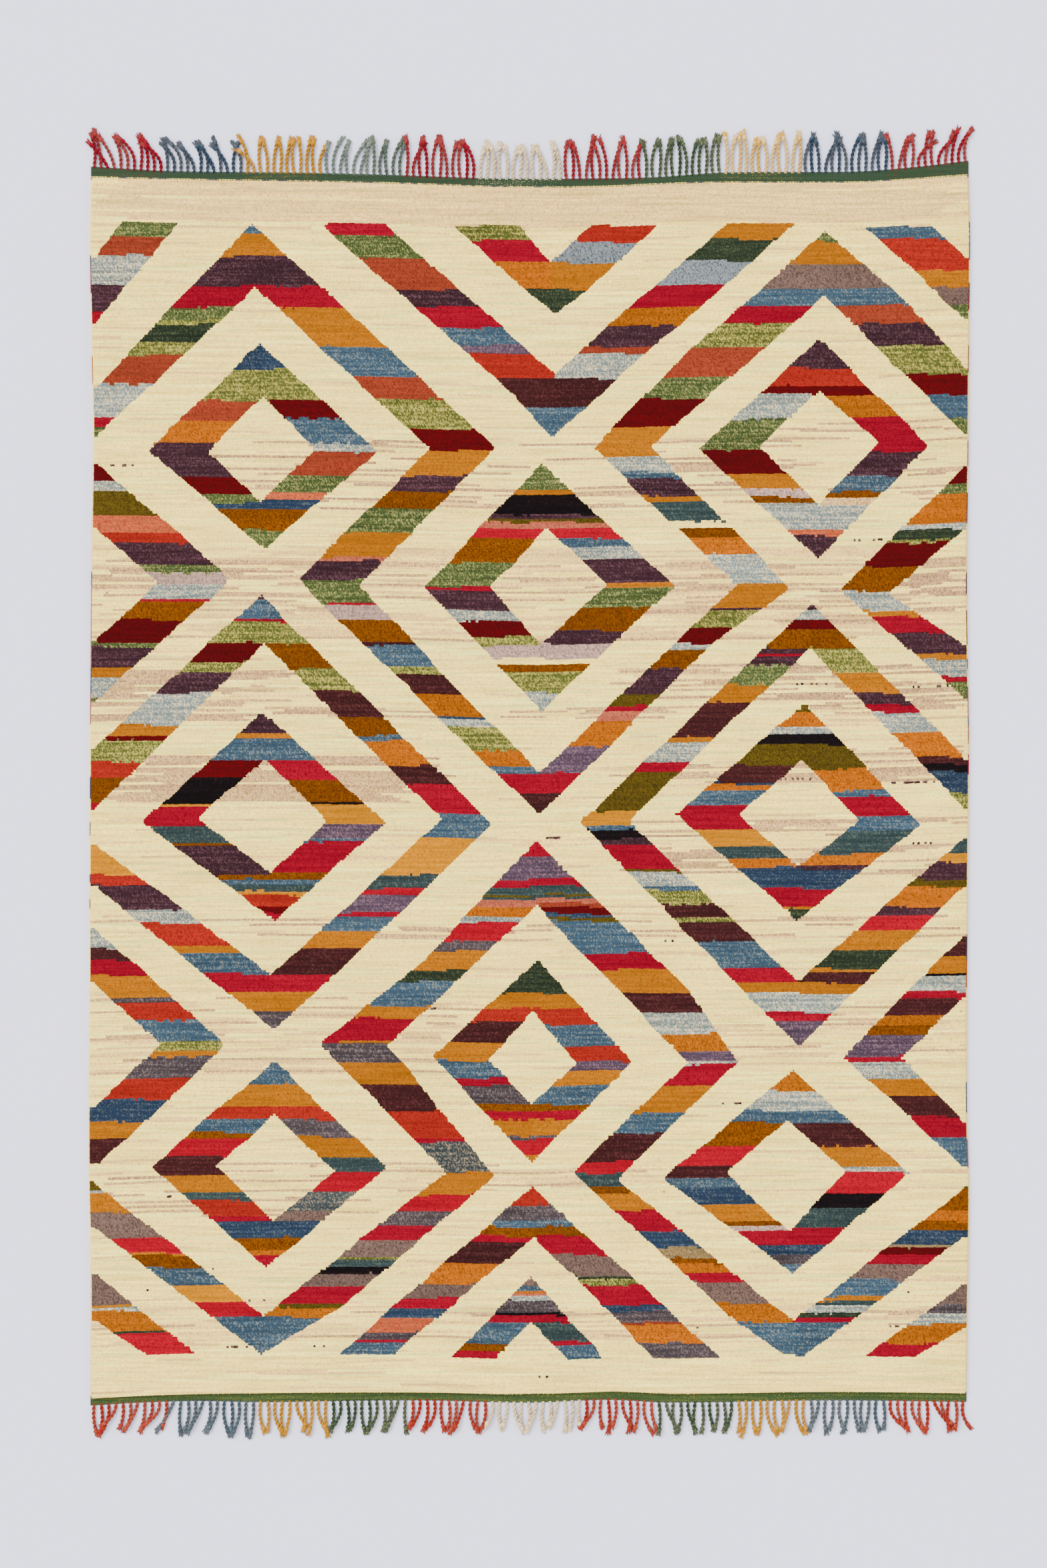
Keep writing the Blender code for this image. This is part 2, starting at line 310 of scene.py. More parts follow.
WOOLS = {
    "ivory": Wool((1.00, 0.89, 0.53), (0.98, 0.82, 0.46), 0.28),
    "milk": Wool((1.00, 0.92, 0.56), (0.99, 0.86, 0.49), 0.25),
    "sand": Wool((1.00, 0.85, 0.56), (0.94, 0.74, 0.46), 0.34),
    "beige": Wool((0.95, 0.79, 0.56), (0.80, 0.61, 0.43), 0.44),
    "fawn": Wool((0.93, 0.76, 0.56), (0.74, 0.56, 0.42), 0.46),
    "crimson": Wool((0.78, 0.00, 0.22), (0.58, 0.00, 0.15), 0.28),
    "rust": Wool((0.76, 0.34, 0.24), (0.60, 0.20, 0.15), 0.34),
    "tomato": Wool((0.84, 0.25, 0.20), (0.66, 0.13, 0.14), 0.32),
    "rose": Wool((0.87, 0.14, 0.23), (0.70, 0.04, 0.16), 0.30),
    "maroon": Wool((0.48, 0.06, 0.09), (0.34, 0.03, 0.06), 0.34),
    "black": Wool((0.09, 0.06, 0.07), (0.22, 0.12, 0.15), 0.18),
    "plum": Wool((0.30, 0.18, 0.22), (0.50, 0.35, 0.39), 0.32),
    "aubergine": Wool((0.31, 0.14, 0.15), (0.47, 0.27, 0.26), 0.30),
    "gold": Wool((0.84, 0.52, 0.00), (0.72, 0.38, 0.00), 0.28),
    "yellow": Wool((0.89, 0.59, 0.00), (0.82, 0.48, 0.00), 0.22),
    "orange": Wool((0.90, 0.50, 0.00), (0.68, 0.34, 0.02), 0.36),
    "ochre": Wool((0.85, 0.49, 0.04), (0.60, 0.32, 0.05), 0.38),
    "umber": Wool((0.66, 0.38, 0.05), (0.42, 0.23, 0.05), 0.42),
    "olive": Wool((0.49, 0.41, 0.16), (0.31, 0.25, 0.11), 0.42),
    "khaki": Wool((0.72, 0.60, 0.42), (0.48, 0.42, 0.29), 0.38),
    "blue": Wool((0.31, 0.42, 0.51), (0.60, 0.63, 0.61), 0.28),
    "navy": Wool((0.21, 0.29, 0.40), (0.46, 0.50, 0.52), 0.26),
    "sky": Wool((0.57, 0.64, 0.64), (0.88, 0.81, 0.66), 0.42),
    "mist": Wool((0.64, 0.67, 0.68), (0.31, 0.36, 0.46), 0.38),
    "teal": Wool((0.26, 0.33, 0.34), (0.45, 0.51, 0.46), 0.28),
    "pine": Wool((0.21, 0.26, 0.20), (0.40, 0.43, 0.30), 0.30),
    "green": Wool((0.37, 0.44, 0.26), (0.70, 0.69, 0.44), 0.34),
    "moss": Wool((0.45, 0.49, 0.25), (0.80, 0.74, 0.42), 0.42),
    "lilac": Wool((0.84, 0.70, 0.63), (0.62, 0.50, 0.50), 0.38),
    "violet": Wool((0.42, 0.34, 0.42), (0.64, 0.51, 0.55), 0.34),
    "slate": Wool((0.36, 0.32, 0.34), (0.60, 0.53, 0.52), 0.32),
    "taupe": Wool((0.60, 0.49, 0.44), (0.38, 0.29, 0.30), 0.40),
    "denim": Wool((0.31, 0.36, 0.38), (0.72, 0.64, 0.53), 0.33),
    "salmon": Wool((0.93, 0.48, 0.33), (0.80, 0.32, 0.24), 0.34),
    "pink": Wool((0.87, 0.49, 0.38), (0.72, 0.31, 0.27), 0.32),
    "cream": Wool((0.93, 0.84, 0.68), (0.72, 0.58, 0.43), 0.30),
    "poppy": Wool((0.87, 0.26, 0.20), (0.64, 0.10, 0.12), 0.30),
    "steel": Wool((0.25, 0.35, 0.46), (0.55, 0.62, 0.67), 0.14),
    "amber": Wool((0.89, 0.64, 0.03), (0.78, 0.50, 0.02), 0.26),
    "straw": Wool((0.91, 0.69, 0.12), (0.97, 0.84, 0.50), 0.26),
    "sage": Wool((0.60, 0.65, 0.61), (0.40, 0.48, 0.44), 0.35),
    "dark sage": Wool((0.40, 0.48, 0.43), (0.66, 0.70, 0.66), 0.25),
    "bottle": Wool((0.24, 0.35, 0.26), (0.66, 0.68, 0.50), 0.24),
    "strip green": Wool((0.32, 0.42, 0.32), (0.56, 0.36, 0.24), 0.16),
    "spring green": Wool((0.35, 0.46, 0.30), (0.62, 0.60, 0.30), 0.28),
}
GROUND = ("ivory", "milk", "sand", "beige", "fawn")
DEEPER = {"sand": "beige", "beige": "fawn"}

STREAKS = (
    Streak("sand", 262, 340, -300, 1900, 0.97),
    Streak("beige", 664, 772, 430, 1200, 0.22),
    Streak("fawn", 680, 750, 560, 1180, 0.12),
    Streak("beige", 690, 760, 300, 470, 0.22),
    Streak("beige", 640, 760, 1130, 1453, 0.16),
    Streak("sand", 826, 962, 0, 1600, 0.55),
    Streak("beige", 850, 930, 133, 420, 0.20),
    Streak("beige", 850, 940, 1000, 1453, 0.20),
    Streak("fawn", 866, 906, 1380, 1453, 0.80),
    Streak("beige", 1010, 1086, 100, 400, 0.85),
    Streak("fawn", 1038, 1066, 1060, 1453, 0.40),
    Streak("beige", 1000, 1078, 880, 1453, 0.40),
    Streak("beige", 1128, 1182, 960, 1453, 0.45),
    Streak("fawn", 1150, 1178, 1230, 1453, 0.40),
    Streak("beige", 1137, 1206, 200, 640, 0.88),
    Streak("beige", 1228, 1256, 900, 1453, 0.42),
    Streak("beige", 1274, 1322, 960, 1453, 0.42),
    Streak("beige", 1066, 1080, 420, 830, 0.50),
    Streak("beige", 1378, 1410, 133, 1453, 0.25),
    Streak("sand", 1490, 1612, 100, 700, 0.45),
    Streak("sand", 1500, 1600, 1060, 1453, 0.50),
    Streak("beige", 1512, 1560, 1200, 1453, 0.20),
    Streak("beige", 1736, 1834, 140, 520, 0.25),
    Streak("sand", 1740, 1790, 560, 960, 0.50),
    Streak("sand", 1960, 2016, 100, 1453, 0.40),
)

# Short rows of dark knots that strayed into the ground: y, left, right
STRAYS = (
    (706, 153, 202), (725, 217, 232), (814, 1268, 1330), (811, 1335, 1372), (1027, 1190, 1240),
    (1036, 1360, 1430), (1172, 1165, 1225), (1178, 1330, 1400), (1254, 815, 850),
    (1268, 1360, 1400), (1412, 990, 1010), (1655, 1080, 1110), (1792, 190, 205),
    (1793, 238, 258), (1903, 300, 320),
    (1931, 215, 245), (1947, 370, 415), (2016, 315, 370), (2018, 445, 500), (1988, 985, 1045),
    (2062, 805, 820), (1512, 640, 652), (1575, 668, 674), (1936, 1355, 1372), (1988, 1325, 1350),
)

# Limbs of the lattice, in chart steps; every bar's number is the step where it ends
CROWN_1 = "blue 351, gold 384, plum 428, "
CROWN_R1 = "green 360, gold 394, taupe 431, blue 457, "
CROWN_M2 = "crimson 1282, violet 1317, crimson 1328, teal 1340, olive 1343, teal 1347, "
CROWN_L2 = "plum 900, blue 928, crimson 932, moss 964, "
CROWN_R2 = "plum 914, sky 928, maroon 943, umber 972, "
POINT_R2 = "gold 1487, sky 1516, crimson 1528, violet 1568"
POINT_L2 = "crimson 1486, gold 1516, slate 1543"
POINT_M1 = "crimson 1188, aubergine 1221"
CROWN_M3 = "tomato 1805, slate 1828, blue 1838, umber 1852, "
CROWN_M3_SMALL = (
    "taupe 1926, blue 1935, orange 1938, pink 1941, sky 1947, slate 1967, black 1971,"
    " crimson 1981, "
)

LIMBS = (
    Limb(
        ((332, 181), (490, 60)), ((332, 270), (490, 135)),
        "green 356, rust 382, sky 426, plum 467, crimson 490",
    ),
    Limb(
        ((339, 1293), (483, 1453)), ((339, 1397), (390, 1453), (483, 1560)),
        "blue 358, tomato 406, gold 431, taupe 458, green 483",
    ),
    Limb(
        ((335, 376), (585, 139), (655, 60)), ((335, 376), (431, 383), (655, 143)),
        CROWN_1 + "crimson 459, green 478, moss 485, pine 512, moss 532, rust 575, sky 625,"
        " crimson 638, green 655",
    ),
    Limb(
        ((335, 376), (431, 383), (672, 644), (868, 445), (1221, 807)),
        ((335, 376), (669, 742), (877, 538), (1158, 807), (1221, 807)),
        CROWN_1 + "crimson 461, gold 518, blue 564, rust 597, moss 643, maroon 675, gold 712,"
        " plum 736, umber 761, green 798, gold 834, pink 840, plum 869, green 904, crimson 907,"
        " lilac 929, umber 961, aubergine 967, blue 999, moss 1011, aubergine 1040, ochre 1073,"
        " navy 1078, sky 1088, moss 1124, orange 1147, blue 1158, " + POINT_M1,
    ),
    Limb(
        ((335, 477), (566, 743), (655, 828)), ((335, 577), (560, 831), (655, 829)),
        "crimson 351, green 385, rust 433, plum 458, crimson 490, blue 516, violet 529,"
        " tomato 566, aubergine 609, blue 655",
    ),
    Limb(
        ((335, 1087), (560, 831), (655, 829)), ((337, 1187), (573, 918), (655, 830)),
        "gold 357, pine 391, mist 428, crimson 460, ochre 488, plum 519, rust 529, sky 566,"
        " aubergine 609, blue 655",
    ),
    Limb(
        ((338, 679), (470, 831)), ((338, 779), (393, 823), (470, 831)),
        "moss 360, crimson 393, orange 435, pine 470",
    ),
    Limb(
        ((338, 882), (393, 823), (470, 831)), ((338, 984), (435, 878), (470, 832)),
        "tomato 362, mist 395, gold 435, pine 470",
    ),
    Limb(
        ((345, 1238), (521, 1038), (672, 889), (877, 1102), (1158, 807), (1221, 807)),
        ((345, 1238), (441, 1235), (669, 976), (882, 1183), (966, 1066), (1221, 807)),
        CROWN_R1 + "crimson 485, moss 520, rust 565, green 597, maroon 640, gold 685, sky 708,"
        " blue 717, plum 744, gold 752, teal 782, ivory 790, umber 806, orange 830, sky 874,"
        " gold 912, plum 916, moss 943, maroon 966, sky 974, umber 1003, plum 1042, olive 1058,"
        " crimson 1067, pink 1080, orange 1118, violet 1158, " + POINT_M1,
    ),
    Limb(
        ((345, 1238), (441, 1235), (652, 1447)),
        ((345, 1238), (483, 1388), (557, 1452), (652, 1560)),
        CROWN_R1 + "rust 485, plum 518, moss 562, maroon 593, blue 627, green 652",
    ),
    Limb(
        ((691, 60), (788, 139), (872, 237), (963, 140), (1054, 60)),
        ((691, 139), (856, 334), (872, 342), (1054, 138)),
        "maroon 721, sky 736, olive 773, salmon 797, tomato 814, plum 846, green 858, lilac 876,"
        " sky 896, crimson 900, umber 928, maroon 963, green 970, plum 1002, gold 1016, sky 1045,"
        " green 1054",
    ),
    Limb(
        ((693, 1452), (884, 1258), (1050, 1449)),
        ((693, 1540), (785, 1453), (890, 1332), (971, 1452), (1050, 1540)),
        "maroon 726, green 739, orange 785, sky 794, pine 809, moss 813, maroon 849, umber 886,"
        " sky 915, gold 923, crimson 948, plum 980, gold 988, sky 1013, crimson 1021, green 1050",
    ),
    Limb(
        ((891, 390), (1038, 232), (1127, 135), (1221, 60)), ((891, 390), (964, 394), (1219, 135)),
        CROWN_L2 + "maroon 993, moss 1008, plum 1038, sky 1086, gold 1103, maroon 1109, moss 1142,"
        " tomato 1165, umber 1203, crimson 1221",
    ),
    Limb(
        ((891, 390), (964, 394), (1227, 662), (1460, 406), (1543, 412)),
        ((891, 390), (1235, 737), (1543, 412)),
        CROWN_L2 + "umber 1002, moss 1036, aubergine 1074, umber 1102, blue 1110, orange 1148,"
        " aubergine 1177, crimson 1220, blue 1257, yellow 1312, teal 1333, rose 1342, violet 1368,"
        " crimson 1373, blue 1394, gold 1420, aubergine 1460, " + POINT_L2,
    ),
    Limb(
        ((1257, 60), (1323, 135), (1543, 412)), ((1257, 133), (1460, 406), (1543, 412)),
        "yellow 1312, tomato 1327, plum 1364, sky 1383, tomato 1418, gold 1430, blue 1460, "
        + POINT_L2,
    ),
    Limb(
        ((904, 1217), (1231, 868), (1568, 1195)),
        ((904, 1217), (971, 1212), (1229, 941), (1471, 1195), (1568, 1195)),
        CROWN_R2 + "plum 982, crimson 985, plum 998, green 1027, gold 1053, aubergine 1104,"
        " gold 1114, sky 1143, crimson 1157, olive 1216, yellow 1236, blue 1243, black 1257,"
        " plum 1267, crimson 1303, olive 1307, sky 1328, blue 1333, moss 1354, aubergine 1373,"
        " moss 1382, aubergine 1410, blue 1450, crimson 1471, " + POINT_R2,
    ),
    Limb(
        ((904, 1217), (971, 1212), (1216, 1447)), ((904, 1217), (1134, 1442), (1216, 1540)),
        CROWN_R2 + "moss 1008, gold 1038, plum 1055, crimson 1067, sky 1097, orange 1134,"
        " aubergine 1144, black 1155, navy 1187, moss 1216",
    ),
    Limb(
        ((1252, 1447), (1471, 1195), (1568, 1195)), ((1252, 1540), (1318, 1453), (1568, 1195)),
        "teal 1275, yellow 1289, plum 1318, olive 1328, orange 1359, plum 1372, rose 1392,"
        " gold 1420, pine 1449, gold 1454, aubergine 1471, " + POINT_R2,
    ),
    Limb(
        ((1390, 60), (1466, 133), (1563, 240), (1668, 133), (1743, 60)),
        ((1390, 140), (1562, 337), (1577, 328), (1743, 146)),
        "sky 1423, aubergine 1441, crimson 1463, gold 1496, slate 1503, tomato 1530, blue 1562,"
        " moss 1577, gold 1585, slate 1617, tomato 1648, navy 1682, gold 1707, aubergine 1743",
    ),
    Limb(
        ((1395, 1449), (1584, 1263), (1756, 1453)),
        ((1395, 1540), (1484, 1453), (1584, 1350), (1684, 1449), (1756, 1540)),
        "aubergine 1433, gold 1459, black 1461, sky 1485, crimson 1496, aubergine 1520,"
        " ochre 1535, umber 1550, violet 1582, crimson 1590, sky 1616, gold 1642, aubergine 1672,"
        " crimson 1704, blue 1756",
    ),
    Limb(
        ((1259, 804), (1438, 636), (1563, 480), (1757, 667), (1972, 396), (2029, 390)),
        ((1259, 804), (1356, 805), (1567, 580), (1762, 741), (1956, 514), (2029, 390)),
        CROWN_M2 + "pink 1359, orange 1373, sky 1382, rose 1410, slate 1424, gold 1452, pine 1469,"
        " blue 1506, gold 1524, crimson 1560, gold 1562, slate 1592, gold 1624, aubergine 1663,"
        " tomato 1705, crimson 1710, denim 1757, gold 1790, rose 1814, slate 1836, crimson 1856,"
        " taupe 1882, moss 1886, teal 1898, black 1907, taupe 1927, crimson 1952, olive 1959,"
        " ochre 1973, blue 2029",
    ),
    Limb(
        ((1259, 804), (1356, 805), (1591, 1029), (1757, 856), (1980, 1104), (2030, 1172)),
        ((1259, 804), (1484, 1030), (1590, 1107), (1767, 923), (1978, 1189), (2030, 1190)),
        CROWN_M2 + "pink 1352, rust 1359, maroon 1369, navy 1375, olive 1380, blue 1428,"
        " crimson 1452, gold 1488, aubergine 1517, sky 1549, ochre 1576, violet 1590, sky 1596,"
        " crimson 1627, gold 1668, blue 1698, aubergine 1739, rose 1757, teal 1776, umber 1787,"
        " gold 1814, crimson 1845, navy 1870, khaki 1885, umber 1895, orange 1908, crimson 1921,"
        " taupe 1952, ochre 1980, blue 2031",
    ),
    Limb(
        ((1767, 60), (1833, 133), (2029, 390)), ((1767, 133), (1972, 396), (2029, 390)),
        "olive 1783, sky 1789, gold 1818, taupe 1855, rose 1877, gold 1880, umber 1899, blue 1925,"
        " yellow 1950, rose 1972, blue 2029",
    ),
    Limb(
        ((1773, 1453), (1978, 1189), (2031, 1190)), ((1773, 1540), (1848, 1453), (2031, 1202)),
        "olive 1782, umber 1814, orange 1830, umber 1842, navy 1864, khaki 1870, maroon 1880,"
        " crimson 1894, taupe 1918, blue 1943, gold 1950, teal 1956, sky 1968, pine 1975,"
        " crimson 1980, blue 2031",
    ),
    Limb(
        ((1778, 797), (2028, 508)), ((1778, 797), (1853, 800), (2028, 590)),
        CROWN_M3 + "crimson 1861, aubergine 1894, orange 1925, taupe 1945, crimson 1961,"
        " navy 1975, salmon 1995, slate 2006, crimson 2010, blue 2028",
    ),
    Limb(
        ((1778, 797), (1853, 800), (2036, 982)), ((1778, 797), (2036, 1080)),
        CROWN_M3 + "crimson 1879, taupe 1911, pine 1915, moss 1924, crimson 1955, navy 1964,"
        " slate 1981, rust 1985, orange 2013, slate 2036",
    ),
    Limb(
        ((1912, 796), (2034, 675)), ((1912, 796), (1980, 794), (2034, 741)),
        CROWN_M3_SMALL + "blue 2014, umber 2026, crimson 2034",
    ),
    Limb(
        ((1912, 796), (1980, 794), (2036, 849)), ((1912, 796), (2036, 905)),
        CROWN_M3_SMALL + "teal 2008, crimson 2014, blue 2036",
    ),
    Limb(
        ((1904, 60), (1973, 133), (2029, 219)), ((1904, 135), (2028, 293)),
        "taupe 1956, yellow 1958, sky 1964, ochre 1995, pine 1998, rose 2029",
    ),
    Limb(
        ((1916, 1453), (2033, 1294)), ((1916, 1540), (1987, 1446), (2033, 1370)),
        "taupe 1955, slate 1968, sky 1984, ochre 2013, crimson 2033",
    ),
)


class Ring(NamedTuple):
    """A closed lozenge: top, right, bottom and left corners (y, x) of its outline and its eye."""

    outline: tuple
    eye: tuple
    left_bars: str
    right_bars: str


RINGS = (
    Ring(
        ((514, 390), (677, 564), (822, 395), (675, 221)),
        ((593, 394), (675, 473), (752, 388), (677, 314)),
        "navy 553, moss 600, rust 630, orange 664, plum 715, maroon 739, green 753, navy 762,"
        " umber 794, green 822",
        "navy 553, moss 600, maroon 627, blue 663, sky 677, rust 711, green 737, salmon 749,"
        " navy 762, umber 794, green 822",
    ),
    Ring(
        ((507, 1226), (668, 1393), (837, 1225), (672, 1048)),
        ((585, 1226), (663, 1316), (756, 1225), (668, 1138)),
        "plum 552, tomato 579, maroon 592, sky 629, green 676, maroon 711, gold 734, lilac 745,"
        " umber 754, sky 793, salmon 802, plum 837",
        "plum 552, tomato 579, maroon 592, ochre 624, crimson 677, plum 712, blue 736, umber 745,"
        " beige 756, sky 793, salmon 802, plum 837",
    ),
    Ring(
        ((693, 811), (878, 1009), (1065, 811), (879, 635)),
        ((791, 819), (877, 910), (965, 811), (879, 732)),
        "green 733, gold 741, black 771, plum 776, olive 782, pink 790, rose 806, umber 841,"
        " green 877, crimson 883, plum 913, sky 929, maroon 953, moss 967, lilac 986, ivory 995,"
        " umber 1006, moss 1037, sky 1065",
        "green 733, gold 741, black 771, plum 776, olive 782, pink 790, rose 806, blue 819,"
        " sky 837, plum 872, gold 879, green 910, umber 944, plum 964, lilac 986, ivory 995,"
        " umber 1006, moss 1037, sky 1065",
    ),
    Ring(
        ((1067, 393), (1233, 580), (1379, 411), (1231, 212)),
        ((1137, 394), (1231, 492), (1307, 403), (1226, 296)),
        "plum 1099, gold 1106, blue 1138, maroon 1165, black 1203, yellow 1207, crimson 1236,"
        " teal 1262, umber 1267, plum 1312, umber 1318, blue 1326, teal 1336, yellow 1342,"
        " tomato 1360, maroon 1368, crimson 1379",
        "plum 1099, gold 1106, blue 1138, crimson 1168, umber 1203, black 1206, yellow 1235,"
        " violet 1258, blue 1262, crimson 1308, umber 1318, blue 1326, teal 1336, yellow 1342,"
        " tomato 1360, maroon 1368, crimson 1379",
    ),
    Ring(
        ((1054, 1204), (1235, 1379), (1379, 1195), (1220, 1012)),
        ((1138, 1200), (1228, 1289), (1298, 1196), (1221, 1105)),
        "olive 1067, orange 1090, sky 1100, black 1115, olive 1145, aubergine 1172, navy 1175,"
        " orange 1184, blue 1207, crimson 1243, yellow 1268, teal 1285, orange 1299, navy 1331,"
        " crimson 1358, gold 1361, pine 1379",
        "olive 1067, orange 1090, sky 1100, black 1115, olive 1151, orange 1184, blue 1192,"
        " crimson 1223, blue 1246, teal 1279, orange 1295, plum 1302, navy 1331, crimson 1358,"
        " gold 1361, pine 1379",
    ),
    Ring(
        ((1438, 807), (1591, 948), (1742, 796), (1582, 647)),
        ((1514, 798), (1593, 866), (1653, 797), (1588, 731)),
        "pine 1489, gold 1511, tomato 1530, aubergine 1561, gold 1588, blue 1614, crimson 1625,"
        " slate 1653, umber 1664, crimson 1677, gold 1702, slate 1706, rose 1729, gold 1742",
        "pine 1489, gold 1511, tomato 1535, blue 1568, tomato 1590, violet 1604, gold 1626,"
        " blue 1655, umber 1664, crimson 1677, gold 1702, slate 1706, rose 1729, gold 1742",
    ),
    Ring(
        ((1589, 412), (1750, 580), (1898, 399), (1749, 225)),
        ((1669, 411), (1755, 504), (1829, 408), (1747, 322)),
        "blue 1624, gold 1658, tomato 1677, blue 1697, umber 1707, rose 1734, aubergine 1762,"
        " gold 1786, teal 1798, tomato 1822, crimson 1829, navy 1853, umber 1872, orange 1879,"
        " crimson 1898",
        "blue 1624, gold 1658, tomato 1677, slate 1702, gold 1733, teal 1755, rose 1783,"
        " denim 1813, taupe 1829, navy 1853, umber 1872, orange 1879, crimson 1898",
    ),
    Ring(
        ((1603, 1187), (1757, 1361), (1908, 1188), (1765, 994)),
        ((1678, 1183), (1755, 1265), (1845, 1182), (1757, 1087)),
        "ochre 1633, sky 1664, blue 1682, umber 1716, rose 1747, aubergine 1765, blue 1780,"
        " navy 1805, gold 1830, umber 1838, lilac 1845, crimson 1865, navy 1880, slate 1894,"
        " blue 1908",
        "ochre 1633, sky 1664, blue 1682, aubergine 1718, gold 1749, sky 1757, rose 1790,"
        " black 1811, teal 1839, crimson 1865, navy 1880, slate 1894, blue 1908",
    ),
)

# Wools along the overcast side cords, down the chart
LEFT_SIDE = (
    "ivory 381, plum 402, crimson 440, ivory 532, gold 575, ivory 690, sand 856, navy 877,"
    " pink 999, navy 1035, crimson 1065, ochre 1086, ivory 1164, navy 1198, ivory 1231, teal 1252,"
    " ivory 1310, navy 1323, ivory 1346, rust 1361, ivory 1900, sand 2100"
)
RIGHT_SIDE = (
    "sand 330, pine 389, ivory 422, crimson 463, ivory 516, gold 557, ivory 659, orange 697,"
    " ivory 738, slate 784, ivory 857, maroon 890, ivory 915, umber 966, ivory 986, green 1002,"
    " ivory 1027, salmon 1075, navy 1088, orange 1114, ivory 1130, rose 1160, ivory 1400,"
    " slate 1440, orange 1480, ivory 1620, navy 1668, ivory 1706, pink 1750, ivory 2100"
)


class RugSizes(bpy.types.PropertyGroup):
    """Sizes that a user would change."""

    ply_thickness: bpy.props.FloatProperty(
        name="Ply thickness",
        description="Thickness of each of the two plies of a fringe cord",
        default=PLY_THICKNESS,
        unit="LENGTH",
    )
    turn_length: bpy.props.FloatProperty(
        name="Length of a turn",
        description="Length of fringe cord in which its plies go round each other once",
        default=TURN_LENGTH,
        unit="LENGTH",
    )
    wrap_pitch: bpy.props.FloatProperty(
        name="Wrap pitch",
        description="Distance between the turns of wool round a side cord",
        default=0.0026,
        unit="LENGTH",
    )
    tuft_spacing: bpy.props.FloatProperty(
        name="Tuft spacing",
        description="Distance between the tufts that stand out along the edge of the pile",
        default=0.0030,
        unit="LENGTH",
    )
    tuft_reach: bpy.props.FloatProperty(
        name="Tuft reach",
        description="Length of the tufts that stand out along the edge of the pile",
        default=0.0052,
        unit="LENGTH",
    )
    pile_relief: bpy.props.FloatProperty(
        name="Pile relief",
        description="Height of the knots' relief in the surface of the pile",
        default=0.0011,
        unit="LENGTH",
    )


class RugColours(bpy.types.PropertyGroup):
    """Colours that a user would change."""

    ivory: bpy.props.FloatVectorProperty(
        name="Ground wool",
        description="Undyed wool of the ground",
        subtype="COLOR_GAMMA",
        size=3,
        default=WOOLS["ivory"].colour,
        min=0.0,
        max=1.0,
    )
    crimson: bpy.props.FloatVectorProperty(
        name="Red wool",
        description="Brightest red of the bars and the fringe",
        subtype="COLOR_GAMMA",
        size=3,
        default=WOOLS["crimson"].colour,
        min=0.0,
        max=1.0,
    )
    gold: bpy.props.FloatVectorProperty(
        name="Gold wool",
        description="Gold of the bars",
        subtype="COLOR_GAMMA",
        size=3,
        default=WOOLS["gold"].colour,
        min=0.0,
        max=1.0,
    )
    blue: bpy.props.FloatVectorProperty(
        name="Blue wool",
        description="Middle blue of the bars and the fringe",
        subtype="COLOR_GAMMA",
        size=3,
        default=WOOLS["blue"].colour,
        min=0.0,
        max=1.0,
    )
    floor: bpy.props.FloatVectorProperty(
        name="Floor",
        description="Pale floor that the rug lies on",
        subtype="COLOR_GAMMA",
        size=3,
        default=(0.795, 0.800, 0.885),
        min=0.0,
        max=1.0,
    )


def linear(colour):
    """An sRGB colour as linear light."""
    values = np.asarray(colour, float)
    return np.where(values <= 0.04045, values / 12.92, ((values + 0.055) / 1.055) ** 2.4)


def reflectance(colour):
    """What wool of that looks reflects, in linear light."""
    light = linear(colour)
    deep = light * min(WHITE_SHARE + WHITE_GAIN * float(light @ LUMA) ** 2, 1.0)
    grey = float(deep @ LUMA)
    return np.clip(grey + (deep - grey) * DEPTH, 0.0002, 0.96)


def dyed(name):
    """The wool of that name, with the user's own colours where there are any."""
    colours = bpy.context.scene.rug_colours
    wool = WOOLS[name]
    if name in ("ivory", "crimson", "gold", "blue"):
        wool = wool._replace(colour=tuple(getattr(colours, name)))
    return wool


def along(table, share):
    """The value in metres at a share along an edge, on a smooth curve through the table."""
    last = len(table) - 1
    i = next((k for k in range(last) if share <= table[k + 1].share), last - 1)
    before, a, b, after = (table[min(max(k, 0), last)] for k in (i - 1, i, i + 1, i + 2))
    t = (share - a.share) / (b.share - a.share)
    span = b.share - a.share
    rise_a = (b.out_mm - before.out_mm) / (b.share - before.share) * span
    rise_b = (after.out_mm - a.out_mm) / (after.share - a.share) * span
    value = (
        a.out_mm * (1 - 3 * t * t + 2 * t**3)
        + b.out_mm * (3 * t * t - 2 * t**3)
        + rise_a * (t - 2 * t * t + t**3)
        + rise_b * (t**3 - t * t)
    )
    return value * MM


def place(across, up):
    """The plan place of a share across and a share along the pile, inside its wandering edges."""
    left = -PILE_WIDTH / 2 - along(LEFT_BOWS, up)
    right = PILE_WIDTH / 2 + along(RIGHT_BOWS, up)
    foot = -PILE_LENGTH / 2 - along(FOOT_BOWS, across)
    head = PILE_LENGTH / 2 + along(HEAD_BOWS, across)
    return Vector((left + (right - left) * across, foot + (head - foot) * up, 0.0))


def places(across, up):
    """Plan places on a grid of shares: arrays of x and y, a row for each share along."""
    left = np.array([-PILE_WIDTH / 2 - along(LEFT_BOWS, v) for v in up])[:, None]
    right = np.array([PILE_WIDTH / 2 + along(RIGHT_BOWS, v) for v in up])[:, None]
    foot = np.array([-PILE_LENGTH / 2 - along(FOOT_BOWS, u) for u in across])[None, :]
    head = np.array([PILE_LENGTH / 2 + along(HEAD_BOWS, u) for u in across])[None, :]
    u = np.asarray(across)[None, :]
    v = np.asarray(up)[:, None]
    return left + (right - left) * u, foot + (head - foot) * v


